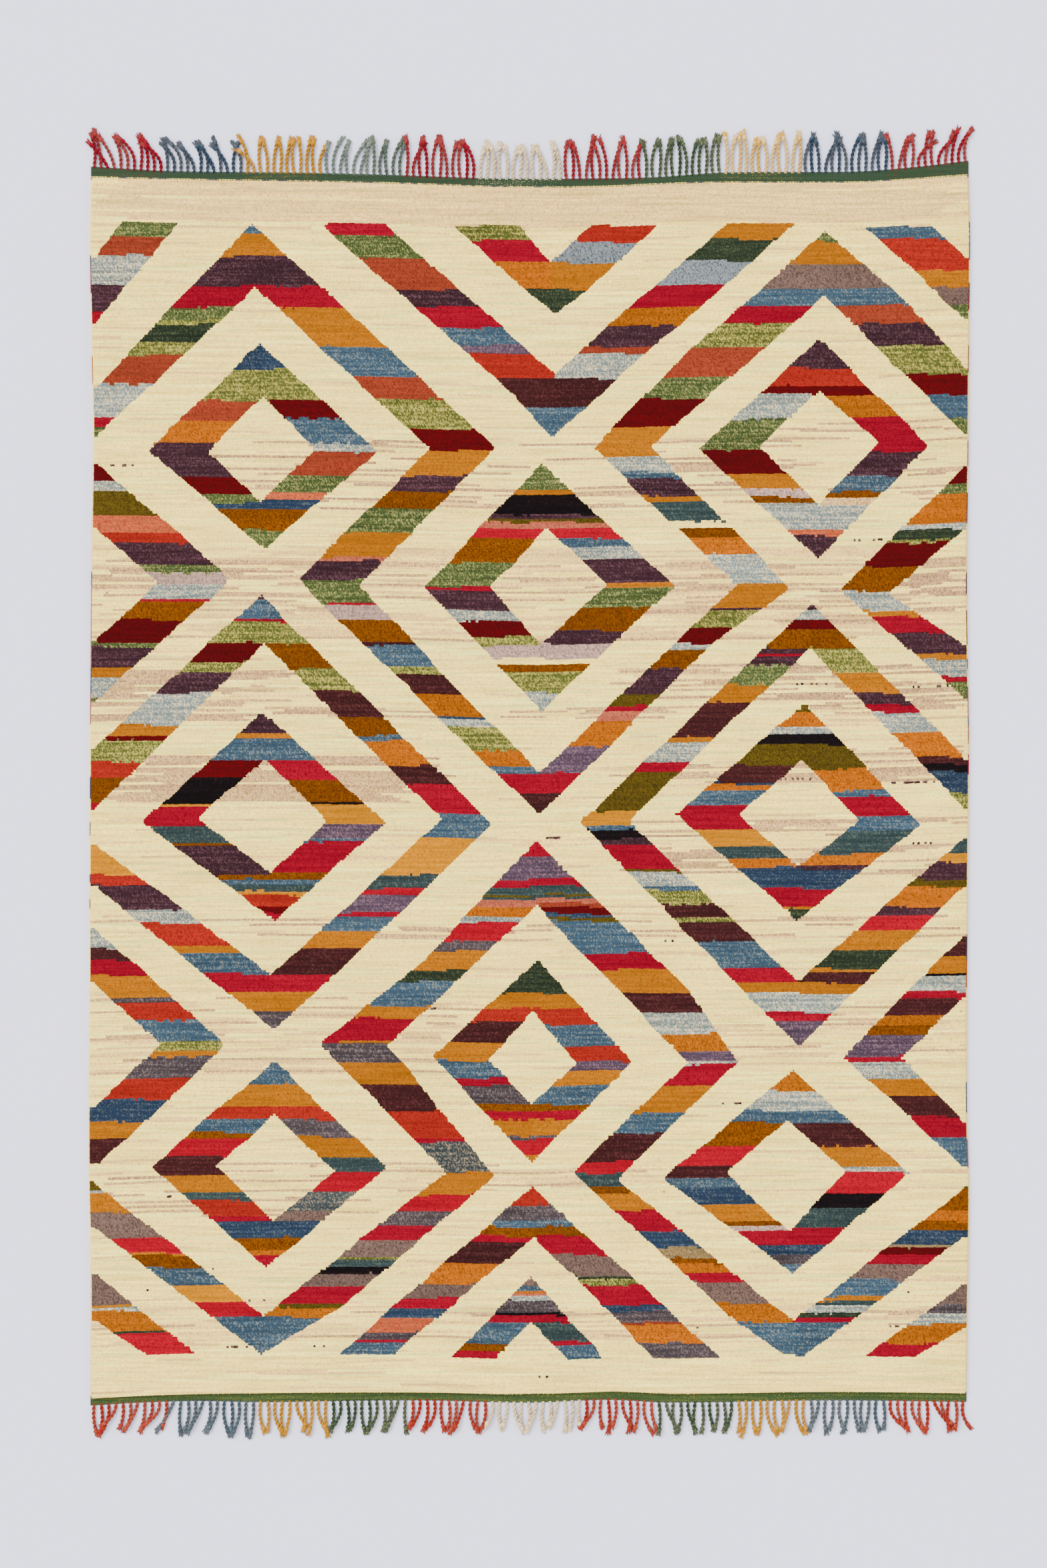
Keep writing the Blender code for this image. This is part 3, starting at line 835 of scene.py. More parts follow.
def unevenness(x, y):
    """The low swell of hand-knotted pile, a fraction of a millimetre up or down."""
    ripple = np.sin(9.0 * x + 1.3) * np.cos(6.1 * y)
    swell = np.sin(5.2 * y - 3.7 * x + 0.8)
    return UNEVEN * (0.6 * ripple + 0.4 * swell)


def smooth_noise(draw, shape, spacing):
    """Seeded noise between -1 and 1 on a grid, smooth over the spacing down and across."""
    rows = int(shape[0] / spacing[0]) + 3
    columns = int(shape[1] / spacing[1]) + 3
    coarse = draw.uniform(-1, 1, (rows, columns))
    at_row = np.arange(shape[0]) / spacing[0]
    at_column = np.arange(shape[1]) / spacing[1]
    rows_done = np.array([np.interp(at_row, np.arange(rows), c) for c in coarse.T]).T
    return np.array([np.interp(at_column, np.arange(columns), r) for r in rows_done])


class Chart:
    """The rug's chart: one wool for each knot, row by row from the head."""

    def __init__(self):
        self.names = list(WOOLS)
        self.draw = np.random.default_rng(SEED)
        across = (np.arange(KNOTS_ACROSS) + 0.5) / KNOTS_ACROSS
        up = 1 - (np.arange(KNOT_ROWS) + 0.5) / KNOT_ROWS
        x, y = places(across, up)
        self.x = x / CHART_STEP + CHART_MIDDLE[0]
        self.y = CHART_MIDDLE[1] - y / CHART_STEP
        self.knots = np.full((KNOT_ROWS, KNOTS_ACROSS), self.names.index("ivory"))
        self.tones = np.ones(self.knots.shape)
        shape = self.knots.shape
        self.edge_wobble = self.draw.uniform(-EDGE_WOBBLE, EDGE_WOBBLE, (KNOT_ROWS, WOBBLE_BLOCKS))
        self.slow_wobble = smooth_noise(self.draw, shape, (14, 16)) * SLOW_WOBBLE
        self.bar_wobble = smooth_noise(self.draw, shape, (40, 16)) * BAR_WOBBLE
        self.teeth = smooth_noise(self.draw, shape, (3, 1.6)) * TEETH

    def paint_ground(self):
        """Streaks of other fleeces, and dark knots that strayed in."""
        for row in range(KNOT_ROWS):
            self.streak_row(row, "milk", 0, KNOTS_ACROSS, MILK_SHARE)
            self.streak_row(row, "sand", 0, KNOTS_ACROSS, SAND_SHARE)
        down = self.y[:, EDGE_MIDDLE]
        for patch in STREAKS:
            for row in np.flatnonzero((down > patch.top) & (down < patch.bottom)):
                self.patch_row(row, patch)
        for y, left, right in STRAYS:
            row = int(np.searchsorted(down, y))
            for column in range(*np.searchsorted(self.x[row], (left, right))):
                if self.draw.random() < STRAY_KNOTS:
                    name = "taupe" if self.draw.random() < TAUPE_SHARE else "plum"
                    self.knots[row, column] = self.names.index(name)

    def patch_row(self, row, patch):
        """One row of a patch, its ends shifted, and now and then in a deeper wool."""
        ends = np.searchsorted(self.x[row], (patch.left, patch.right))
        shift = int(self.draw.integers(-STREAK_SHIFT, STREAK_SHIFT + 1))
        first = max(int(ends[0]) + shift, 0)
        deepens = self.draw.random() < DEEPER_SHARE and patch.share < FULL_PATCH
        wool = DEEPER.get(patch.wool, patch.wool) if deepens else patch.wool
        self.streak_row(row, wool, first, int(ends[1]) + shift, patch.share)

    def streak_row(self, row, wool, first, last, share):
        """Lays streaks of a wool along one row, over about that share of its length."""
        column = first - int(self.draw.integers(0, STREAK_LEAD))
        while column < last:
            long = int(self.draw.integers(*STREAK_KNOTS))
            run = slice(max(column, first), max(min(column + long, last), 0))
            tone = self.draw.uniform(DEEPEST_TONE, 1.0)
            if self.draw.random() < share:
                self.knots[row, run] = self.names.index(wool)
                self.tones[row, run] = tone
            column += long

    def edge(self, corners):
        """Where an edge lies in every row, with the knots' jagged steps."""
        ys, xs = zip(*corners)
        line = np.interp(self.y, ys, xs)
        block = np.clip((line / BLOCK_STEPS).astype(int), 0, WOBBLE_BLOCKS - 1)
        rows = np.arange(KNOT_ROWS)[:, None]
        return line + self.edge_wobble[rows, block] + self.slow_wobble

    def bars(self, text):
        """The wool of every knot by a list of bars, each with the step where it ends."""
        pairs = [bar.rsplit(" ", 1) for bar in text.split(", ")]
        ends = np.array([float(end) for _, end in pairs])
        wools = np.array([self.names.index(name) for name, _ in pairs])
        tones = self.draw.uniform(1 - DYE_SPREAD, 1 + DYE_SPREAD, len(ends))
        at = self.y + self.bar_wobble + self.teeth
        number = np.minimum(np.searchsorted(ends, at), len(ends) - 1)
        return wools[number], tones[number]

    def paint(self, inside, wools, tones):
        """Ties those knots in their wools, each bar a little deeper or paler."""
        self.knots = np.where(inside, wools, self.knots)
        self.tones = np.where(inside, tones, self.tones)

    def paint_limb(self, limb):
        """One slanting band of the lattice."""
        top = min(limb.left[0][0], limb.right[0][0])
        bottom = max(limb.left[-1][0], limb.right[-1][0])
        rows = (self.y >= top) & (self.y < bottom)
        inside = rows & (self.x >= self.edge(limb.left)) & (self.x < self.edge(limb.right))
        self.paint(inside, *self.bars(limb.bars))

    def paint_ring(self, ring):
        """One closed lozenge with its eye."""
        top, right, bottom, left = ring.outline
        eye_top, eye_right, eye_bottom, eye_left = ring.eye
        rows = (self.y >= top[0]) & (self.y < bottom[0])
        outer_left = self.edge((top, left, bottom))
        outer_right = self.edge((top, right, bottom))
        middle = self.edge((top, eye_top, eye_bottom, bottom))
        in_eye = (self.y >= eye_top[0]) & (self.y < eye_bottom[0])
        in_eye &= self.x >= self.edge((eye_top, eye_left, eye_bottom))
        in_eye &= self.x < self.edge((eye_top, eye_right, eye_bottom))
        inside = rows & (self.x >= outer_left) & (self.x < outer_right) & ~in_eye
        self.paint(inside & (self.x < middle), *self.bars(ring.left_bars))
        self.paint(inside & (self.x >= middle), *self.bars(ring.right_bars))

    def finished(self):
        """Paints everything and returns the knots as numbers of wools, and their tones."""
        self.paint_ground()
        for limb in LIMBS:
            self.paint_limb(limb)
        for ring in RINGS:
            self.paint_ring(ring)
        return self.knots, self.tones


def wool_table(names):
    """Linear colours and flecks of the wools, the fleck's share in its fourth number."""
    wools = [dyed(name) for name in names]
    colours = np.array([[*reflectance(wool.colour), 1.0] for wool in wools])
    flecks = np.array([[*reflectance(wool.fleck), wool.share] for wool in wools])
    return colours, flecks


def paint_mesh(mesh, domain, colours, flecks):
    """Stores a wool colour and a fleck, with its share, for every corner or vertex."""
    for name, values in (("wool", colours), ("fleck", flecks)):
        layer = mesh.attributes.new(name, "FLOAT_COLOR", domain)
        layer.data.foreach_set("color", np.asarray(values, np.float32).ravel())


def paint_corners(mesh, faces_wool, faces_tone):
    """Paints each face in its wool, deeper or paler by its tone."""
    colours, flecks = wool_table(list(WOOLS))
    counts = np.zeros(len(mesh.polygons), int)
    mesh.polygons.foreach_get("loop_total", counts)
    corners = np.repeat(np.asarray(faces_wool), counts)
    tones = np.repeat(np.asarray(faces_tone), counts)[:, None]
    colour = np.concatenate([colours[corners, :3] * tones, colours[corners, 3:]], axis=1)
    paint_mesh(mesh, "CORNER", colour, flecks[corners])


def paint_points(mesh, points_wool):
    """Paints each vertex in its wool."""
    colours, flecks = wool_table(list(WOOLS))
    wools = np.asarray(points_wool)
    paint_mesh(mesh, "POINT", colours[wools], flecks[wools])


def new_piece(name, mesh, material):
    """Links a finished mesh as a piece that rides on the rug."""
    piece = bpy.data.objects.new(name, mesh)
    bpy.context.scene.collection.objects.link(piece)
    if material is not None:
        mesh.materials.clear()
        mesh.materials.append(material)
    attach(piece, "root")
    return piece


def add_node(tree, kind, values=(), **settings):
    """Adds a node, with settings and input values by socket name or number."""
    made = tree.nodes.new(kind)
    for key, value in settings.items():
        setattr(made, key, value)
    for key, value in dict(values).items():
        if isinstance(value, bpy.types.NodeSocket):
            tree.links.new(value, made.inputs[key])
        else:
            made.inputs[key].default_value = value
    return made


def scaled(tree, vector, scale):
    """The vector with each part multiplied."""
    values = {0: vector, 1: scale}
    return add_node(tree, "ShaderNodeVectorMath", values, operation="MULTIPLY").outputs[0]


def noise(tree, vector, scale, detail=2.0, rough=0.55):
    """A noise between 0 and 1."""
    values = {"Vector": vector, "Scale": scale, "Detail": detail, "Roughness": rough}
    return add_node(tree, "ShaderNodeTexNoise", values).outputs["Fac"]


def ranged(tree, value, low, high, to_low, to_high):
    """A value taken from one range to another, and held there."""
    values = {"Value": value, "From Min": low, "From Max": high}
    values.update({"To Min": to_low, "To Max": to_high})
    return add_node(tree, "ShaderNodeMapRange", values).outputs["Result"]


def maths(tree, operation, first, second):
    """Two numbers taken together."""
    return add_node(tree, "ShaderNodeMath", {0: first, 1: second}, operation=operation).outputs[0]


def waves(tree, along_axis, width):
    """Even waves of that width along an axis, between -1 and 1."""
    turns = maths(tree, "MULTIPLY", along_axis, 2 * math.pi / width)
    return maths(tree, "SINE", turns, 0.0)


def mixed(tree, share, first, second, blend="MIX"):
    """Two colours mixed by a share."""
    values = {"Factor": share, "A": first, "B": second}
    made = tree.nodes.new("ShaderNodeMix")
    made.data_type = "RGBA"
    made.blend_type = blend
    sockets = {s.identifier: s for s in made.inputs}
    for key, identifier in (("Factor", "Factor_Float"), ("A", "A_Color"), ("B", "B_Color")):
        if isinstance(values[key], bpy.types.NodeSocket):
            tree.links.new(values[key], sockets[identifier])
        else:
            sockets[identifier].default_value = values[key]
    return next(s for s in made.outputs if s.identifier == "Result_Color")


def new_group(name, kind, inputs, outputs):
    """A node group with named sockets, and its two end nodes."""
    tree = bpy.data.node_groups.new(name, kind)
    for label, socket, value in inputs:
        made = tree.interface.new_socket(name=label, in_out="INPUT", socket_type=socket)
        if value is not None:
            made.default_value = value
    for label, socket in outputs:
        tree.interface.new_socket(name=label, in_out="OUTPUT", socket_type=socket)
    return tree, tree.nodes.new("NodeGroupInput"), tree.nodes.new("NodeGroupOutput")


def heather_group():
    """Flecks, streaks and fibres of hand-spun wool over a colour; shared by every wool."""
    tree, start, end = new_group(
        "hand-spun wool",
        "ShaderNodeTree",
        [
            ("Vector", "NodeSocketVector", None),
            ("Colour", "NodeSocketColor", None),
            ("Fleck", "NodeSocketColor", None),
            ("Fleck share", "NodeSocketFloat", 0.3),
            ("Fleck size", "NodeSocketFloat", 400.0),
            ("Streak depth", "NodeSocketFloat", 0.12),
        ],
        [
            ("Colour", "NodeSocketColor"),
            ("Fibre height", "NodeSocketFloat"),
            ("Roughness", "NodeSocketFloat"),
        ],
    )
    vector = start.outputs["Vector"]
    turned = add_node(
        tree, "ShaderNodeVectorRotate", {"Vector": vector, "Angle": math.radians(-24)},
        rotation_type="Z_AXIS",
    ).outputs[0]
    strands = scaled(tree, turned, (1.25, 0.62, 1.0))
    rows = noise(tree, scaled(tree, vector, (7.0, 190.0, 7.0)), 1.0, 2.0)
    grain = noise(tree, strands, start.outputs["Fleck size"], 2.0, 0.6)
    grain = maths(tree, "ADD", grain, ranged(tree, rows, 0.3, 0.7, -0.06, 0.06))
    threshold = ranged(tree, start.outputs["Fleck share"], 0.0, 1.0, 0.70, 0.30)
    over = maths(tree, "SUBTRACT", grain, threshold)
    fleck = ranged(tree, over, -0.07, 0.08, 0.0, 0.85)
    colour = mixed(tree, fleck, start.outputs["Colour"], start.outputs["Fleck"])
    spun = noise(tree, scaled(tree, vector, (2.2, 36.0, 2.2)), 1.0, 1.0)
    low = maths(tree, "SUBTRACT", 1.0, start.outputs["Streak depth"])
    high = maths(tree, "ADD", 1.0, maths(tree, "MULTIPLY", start.outputs["Streak depth"], 0.5))
    shade = ranged(tree, rows, 0.34, 0.66, low, high)
    shade = maths(tree, "MULTIPLY", shade, ranged(tree, spun, 0.3, 0.7, 0.95, 1.04))
    fibre = noise(tree, strands, 900.0, 2.0)
    shade = maths(tree, "MULTIPLY", shade, ranged(tree, fibre, 0.3, 0.7, 0.84, 1.10))
    tint = add_node(tree, "ShaderNodeCombineColor", {0: shade, 1: shade, 2: shade}).outputs[0]
    colour = mixed(tree, 1.0, colour, tint, "MULTIPLY")
    tree.links.new(colour, end.inputs["Colour"])
    tree.links.new(fibre, end.inputs["Fibre height"])
    rough = ranged(tree, fibre, 0.3, 0.7, 0.96, 0.86)
    tree.links.new(rough, end.inputs["Roughness"])
    return tree


def new_wool_material(name, sheen):
    """A material with its shader, its Object coordinates and its wool attributes ready."""
    material = bpy.data.materials.new(name)
    material.use_nodes = True
    tree = material.node_tree
    shader = tree.nodes["Principled BSDF"]
    shader.inputs["Sheen Weight"].default_value = sheen
    shader.inputs["Sheen Roughness"].default_value = 0.5
    shader.inputs["Specular IOR Level"].default_value = 0.04
    coordinates = tree.nodes.new("ShaderNodeTexCoord").outputs["Object"]
    wool = add_node(tree, "ShaderNodeAttribute", attribute_name="wool")
    fleck = add_node(tree, "ShaderNodeAttribute", attribute_name="fleck")
    return material, tree, shader, coordinates, wool, fleck


def add_heather(tree, coordinates, colour, fleck_colour, share, size, depth):
    """The shared group, placed with its own values."""
    made = tree.nodes.new("ShaderNodeGroup")
    made.node_tree = bpy.data.node_groups.get("hand-spun wool") or heather_group()
    made.inputs["Fleck size"].default_value = size
    made.inputs["Streak depth"].default_value = depth
    tree.links.new(coordinates, made.inputs["Vector"])
    tree.links.new(colour, made.inputs["Colour"])
    tree.links.new(fleck_colour, made.inputs["Fleck"])
    tree.links.new(share, made.inputs["Fleck share"])
    return made


def add_bump(tree, shader, height, distance):
    """Relief through the shader's normal."""
    values = {"Height": height, "Distance": distance, "Strength": 1.0}
    bump = add_node(tree, "ShaderNodeBump", values)
    tree.links.new(bump.outputs["Normal"], shader.inputs["Normal"])


def pile_material(relief):
    """Knotted pile: rows of knots in their wools, each knot a small rough cushion, with painted
    shade between the knots.
    """
    material, tree, shader, coordinates, wool, fleck = new_wool_material("knotted wool", 0.03)
    shared = add_heather(
        tree, coordinates, wool.outputs["Color"], fleck.outputs["Color"], fleck.outputs["Alpha"],
        340.0, 0.26,
    )
    apart = add_node(tree, "ShaderNodeSeparateXYZ", {0: coordinates})
    waver = noise(tree, coordinates, 30.0, 1.0)
    y = maths(tree, "ADD", apart.outputs["Y"], ranged(tree, waver, 0.3, 0.7, -0.002, 0.002))
    row_turns = 2 * math.pi * KNOT_ROWS / PILE_LENGTH
    rows = maths(tree, "SINE", maths(tree, "MULTIPLY", y, row_turns), 0.0)
    knots = add_node(
        tree, "ShaderNodeTexVoronoi", {"Vector": coordinates, "Scale": KNOT_ROWS / PILE_LENGTH}
    ).outputs["Distance"]
    height = maths(tree, "MULTIPLY", rows, 0.12)
    height = maths(tree, "SUBTRACT", height, maths(tree, "MULTIPLY", knots, 0.8))
    height = maths(tree, "ADD", height, shared.outputs["Fibre height"])
    # Painted shade: the colour is darkened towards the edges of every knot and in the troughs
    # between the rows of knots, where the relief sinks.
    painted_relief_shading = ranged(tree, knots, 0.35, 0.95, 1.0, 0.80)
    painted_relief_shading = maths(tree, "MULTIPLY", painted_relief_shading, ranged(tree, rows, -1.0, 0.0, 0.95, 1.0))
    tint = add_node(tree, "ShaderNodeCombineColor", {0: painted_relief_shading, 1: painted_relief_shading, 2: painted_relief_shading}).outputs[0]
    colour = mixed(tree, 1.0, shared.outputs["Colour"], tint, "MULTIPLY")
    tree.links.new(colour, shader.inputs["Base Color"])
    tree.links.new(shared.outputs["Roughness"], shader.inputs["Roughness"])
    add_bump(tree, shader, height, relief)
    return material


def cord_material():
    """Twisted wool of the fringe and the side cords, with a slightly darker second ply."""
    material, tree, shader, coordinates, wool, fleck = new_wool_material("twisted wool", 0.04)
    ply = add_node(tree, "ShaderNodeAttribute", attribute_name="ply")
    fade = add_node(tree, "ShaderNodeAttribute", attribute_name="fade")
    tint = mixed(tree, 1.0, wool.outputs["Color"], (0.88, 0.88, 0.88, 1.0), "MULTIPLY")
    second = maths(tree, "MULTIPLY", ply.outputs["Fac"], 0.8)
    colour = mixed(tree, second, wool.outputs["Color"], tint)
    colour = mixed(tree, fade.outputs["Fac"], colour, (0.90, 0.74, 0.46, 1.0))
    shared = add_heather(
        tree, coordinates, colour, fleck.outputs["Color"], fleck.outputs["Alpha"], 420.0, 0.05,
    )
    fine = noise(tree, coordinates, 2200.0, 1.0)
    height = maths(tree, "ADD", shared.outputs["Fibre height"], maths(tree, "MULTIPLY", fine, 0.5))
    tree.links.new(shared.outputs["Colour"], shader.inputs["Base Color"])
    tree.links.new(shared.outputs["Roughness"], shader.inputs["Roughness"])
    add_bump(tree, shader, height, 0.0006)
    return material


def kilim_material():
    """Flat weave: packed wefts over the warps, which show as fine ribs along the rug, with painted
    shade and light over the weave.
    """
    material, tree, shader, coordinates, wool, fleck = new_wool_material("flat-woven wool", 0.03)
    shared = add_heather(
        tree, coordinates, wool.outputs["Color"], fleck.outputs["Color"], fleck.outputs["Alpha"],
        520.0, 0.16,
    )
    apart = add_node(tree, "ShaderNodeSeparateXYZ", {0: coordinates})
    ribs = waves(tree, apart.outputs["X"], RIB_WIDTH)
    wefts = waves(tree, apart.outputs["Y"], WEFT_WIDTH)
    across = maths(tree, "MULTIPLY", ribs, 0.5)
    along_rug = maths(tree, "MULTIPLY", wefts, 0.3)
    woven = maths(tree, "ADD", across, along_rug)
    fibres = maths(tree, "MULTIPLY", shared.outputs["Fibre height"], 0.5)
    height = maths(tree, "ADD", woven, fibres)
    # Painted shade and painted light: the colour is darkened and lightened in a checker over the
    # ribs and wefts, standing in for shade in the weave's hollows and light on its crests.
    painted_relief_shading = ranged(tree, maths(tree, "MULTIPLY", ribs, wefts), -1.0, 1.0, 0.72, 1.12)
    tint = add_node(tree, "ShaderNodeCombineColor", {0: painted_relief_shading, 1: painted_relief_shading, 2: painted_relief_shading}).outputs[0]
    colour = mixed(tree, 1.0, shared.outputs["Colour"], tint, "MULTIPLY")
    tree.links.new(colour, shader.inputs["Base Color"])
    tree.links.new(shared.outputs["Roughness"], shader.inputs["Roughness"])
    add_bump(tree, shader, height, 0.0007)
    return material


def floor_material(colour):
    """A plain pale floor with the faintest mottle."""
    material = bpy.data.materials.new("pale floor")
    material.use_nodes = True
    tree = material.node_tree
    shader = tree.nodes["Principled BSDF"]
    coordinates = tree.nodes.new("ShaderNodeTexCoord").outputs["Object"]
    mottle = noise(tree, coordinates, 3.0, 2.0)
    tone = (*(linear(colour)), 1.0)
    darker = (*(linear(colour) * 0.985), 1.0)
    tree.links.new(mixed(tree, mottle, tone, darker), shader.inputs["Base Color"])
    shader.inputs["Roughness"].default_value = 0.9
    shader.inputs["Specular IOR Level"].default_value = 0.1
    return material


class PileMesh:
    """Builds the pile as one closed mesh from the chart's runs of knots."""

    def __init__(self, knots, tones):
        self.knots = knots
        self.tones = tones
        self.vertices = []
        self.faces = []
        self.wools = []
        self.shades = []
        self.across = np.arange(KNOTS_ACROSS + 1) / KNOTS_ACROSS
        self.up = 1 - np.arange(KNOT_ROWS + 1) / KNOT_ROWS
        self.x, self.y = places(self.across, self.up)
        draw = np.random.default_rng(SEED + 5)
        inner = np.zeros(self.x.shape)
        inner[1:-1, 1:-1] = 1.0
        self.x = self.x + draw.uniform(-STRAGGLE, STRAGGLE, self.x.shape) * inner
        self.y = self.y + draw.uniform(-STRAGGLE, STRAGGLE, self.y.shape) * inner
        self.lean_steps()

    def lean_steps(self):
        """Knots lean over the steps of a slanting edge, which softens its teeth."""
        moves = np.zeros(self.x.shape)
        for line in range(1, KNOT_ROWS):
            above = self.breaks(line - 1)
            below = self.breaks(line)
            upper = sorted(above - below)
            for column in below - above:
                near = [other for other in upper if 0 < abs(other - column) <= LEAN_REACH]
                if len(near) == 1:
                    step = self.x[line, near[0]] - self.x[line, column]
                    moves[line, column] = LEAN * step
                    moves[line, near[0]] = -LEAN * step
        self.x = self.x + moves

    def seams(self, line):
        """The columns along a line where dyed wool meets another wool, knot by knot."""
        if line in (0, KNOT_ROWS):
            return set()
        above = self.knots[line - 1]
        below = self.knots[line]
        ground = [list(WOOLS).index(name) for name in GROUND]
        plain = np.isin(above, ground) & np.isin(below, ground)
        columns = np.flatnonzero((above != below) & ~plain)
        return set(columns.tolist()) | set((columns + 1).tolist())

    def breaks(self, row):
        """The columns where a row of knots changes wool, with the ends and the stations."""
        differ = (np.diff(self.knots[row]) != 0) | (np.diff(self.tones[row]) != 0)
        changes = np.flatnonzero(differ) + 1
        stations = range(0, KNOTS_ACROSS + 1, STATION_EVERY)
        return set(changes.tolist()) | set(stations) | {0, KNOTS_ACROSS}

    def top_vertex(self, line, column):
        """A vertex of the top, drawn in a little along the edge."""
        x = self.x[line, column]
        y = self.y[line, column]
        z = PILE_THICKNESS + unevenness(x, y)
        x += PILE_INSET * ((column == 0) - (column == KNOTS_ACROSS))
        y += PILE_INSET * ((line == KNOT_ROWS) - (line == 0))
        self.vertices.append((x, y, z))
        return len(self.vertices) - 1

    def add_face(self, corners, row, column):
        """A face in the wool of one knot."""
        self.faces.append(corners)
        self.wools.append(int(self.knots[row, column]))
        self.shades.append(float(self.tones[row, column]))

    def build_top(self):
        """Every run of knots of one wool is one face between two lines."""
        breaks = [self.breaks(row) for row in range(KNOT_ROWS)]
        lines = [breaks[0]] + [a | b for a, b in zip(breaks, breaks[1:])] + [breaks[-1]]
        lines = [columns | self.seams(number) for number, columns in enumerate(lines)]
        self.lines = []
        for number, columns in enumerate(lines):
            self.lines.append({c: self.top_vertex(number, c) for c in sorted(columns)})
        for row in range(KNOT_ROWS):
            cuts = sorted(breaks[row])
            upper = list(self.lines[row])
            lower = list(self.lines[row + 1])
            for first, last in zip(cuts, cuts[1:]):
                above = [self.lines[row][c] for c in upper if first <= c <= last]
                below = [self.lines[row + 1][c] for c in lower if first <= c <= last]
                self.add_face(below + above[::-1], row, first)

    def rim_line(self):
        """The top's edge anticlockwise: vertex, line, column and the way out."""
        lines = range(KNOT_ROWS + 1)
        foot = [(KNOT_ROWS, c) for c in sorted(self.lines[KNOT_ROWS])]
        right = [(line, KNOTS_ACROSS) for line in reversed(lines)]
        head = [(0, c) for c in sorted(self.lines[0], reverse=True)]
        left = [(line, 0) for line in lines]
        around = foot[:-1] + right[:-1] + head[:-1] + left[:-1]
        found = []
        for line, column in around:
            way_x = (column == KNOTS_ACROSS) - (column == 0)
            way_y = (line == 0) - (line == KNOT_ROWS)
            found.append((self.lines[line][column], line, column, way_x, way_y))
        return found

    def build_rim(self):
        """Walls of splayed tufts from the top down to the floor."""
        rim = self.rim_line()
        upper = [item[0] for item in rim]
        for step in reversed(PILE_RIM):
            lower = []
            for _, line, column, way_x, way_y in rim:
                x = self.x[line, column] + way_x * step.out
                y = self.y[line, column] + way_y * step.out
                self.vertices.append((x, y, step.height))
                lower.append(len(self.vertices) - 1)
            for k in range(len(rim)):
                n = (k + 1) % len(rim)
                row = min(rim[k][1], rim[n][1], KNOT_ROWS - 1)
                column = min(rim[k][2], rim[n][2], KNOTS_ACROSS - 1)
                self.add_face((lower[k], lower[n], upper[n], upper[k]), row, column)
            upper = lower
        self.base = {(item[1], item[2]): vertex for item, vertex in zip(rim, upper)}

    def back_vertex(self, line, column):
        """A vertex of the flat back; along the edge it is the rim's own."""
        if (line, column) not in self.base:
            self.vertices.append((self.x[line, column], self.y[line, column], 0.0))
            self.base[(line, column)] = len(self.vertices) - 1
        return self.base[(line, column)]

    def build_back(self):
        """The flat back, where the knots show through a few rows at a time."""
        self.back_start = len(self.faces)
        blocks = list(range(0, KNOT_ROWS, BACK_ROWS))
        shown = [row + BACK_ROWS // 2 for row in blocks]
        shown[0] = 0
        shown[-1] = KNOT_ROWS - 1
        breaks = [self.breaks(row) for row in shown]
        lines = [breaks[0]] + [a | b for a, b in zip(breaks, breaks[1:])] + [breaks[-1]]
        lines = [sorted(columns) for columns in lines]
        for number, top in enumerate(blocks):
            bottom = top + BACK_ROWS
            cuts = sorted(breaks[number])
            for first, last in zip(cuts, cuts[1:]):
                above = [(top, c) for c in lines[number] if first <= c <= last]
                below = [(bottom, c) for c in lines[number + 1] if first <= c <= last]
                right = [(k, last) for k in range(bottom - 1, top, -1) if last == KNOTS_ACROSS]
                left = [(k, first) for k in range(top + 1, bottom) if first == 0]
                around = below + right + above[::-1] + left
                corners = [self.back_vertex(*spot) for spot in reversed(around)]
                self.add_face(corners, shown[number], first)

    def mesh(self):
        """The finished mesh with its colours."""
        self.build_top()
        self.build_rim()
        self.build_back()
        mesh = bpy.data.meshes.new("pile")
        mesh.from_pydata(self.vertices, [], self.faces)
        mesh.update()
        paint_corners(mesh, self.wools, self.shades)
        mesh.shade_smooth()
        mesh.set_sharp_from_angle(angle=SHARP_ANGLE)
        return mesh


def lay_flat_map(mesh, back_from):
    """A plan map of the piece for its colours: the top in most of it, the back beside it."""
    count = len(mesh.vertices)
    points = np.zeros(count * 3)
    mesh.vertices.foreach_get("co", points)
    points = points.reshape(-1, 3)
    low, high = points.min(0), points.max(0)
    drop = (high[2] - points[:, 2])[:, None]
    middle = (low + high) / 2
    out = np.sign(points[:, :2] - middle[:2])
    edge = np.abs(points[:, :2] - middle[:2]) > (high - low)[:2] / 2 - MAP_EDGE
    spread = points[:, :2] + out * edge * drop
    flat = (spread - low[:2] + MAP_MARGIN) / ((high - low)[:2] + 2 * MAP_MARGIN)
    loops = np.zeros(len(mesh.loops), int)
    mesh.loops.foreach_get("vertex_index", loops)
    uv = flat[loops]
    totals = np.zeros(len(mesh.polygons), int)
    mesh.polygons.foreach_get("loop_total", totals)
    faces = np.repeat(np.arange(len(totals)), totals)
    back = faces >= back_from
    uv[:, 0] = np.where(back, BACK_FROM + BACK_WIDTH * uv[:, 0], TOP_FROM + TOP_WIDTH * uv[:, 0])
    layer = mesh.uv_layers.new(name="OFBake")
    layer.data.foreach_set("uv", uv.astype(np.float32).ravel())


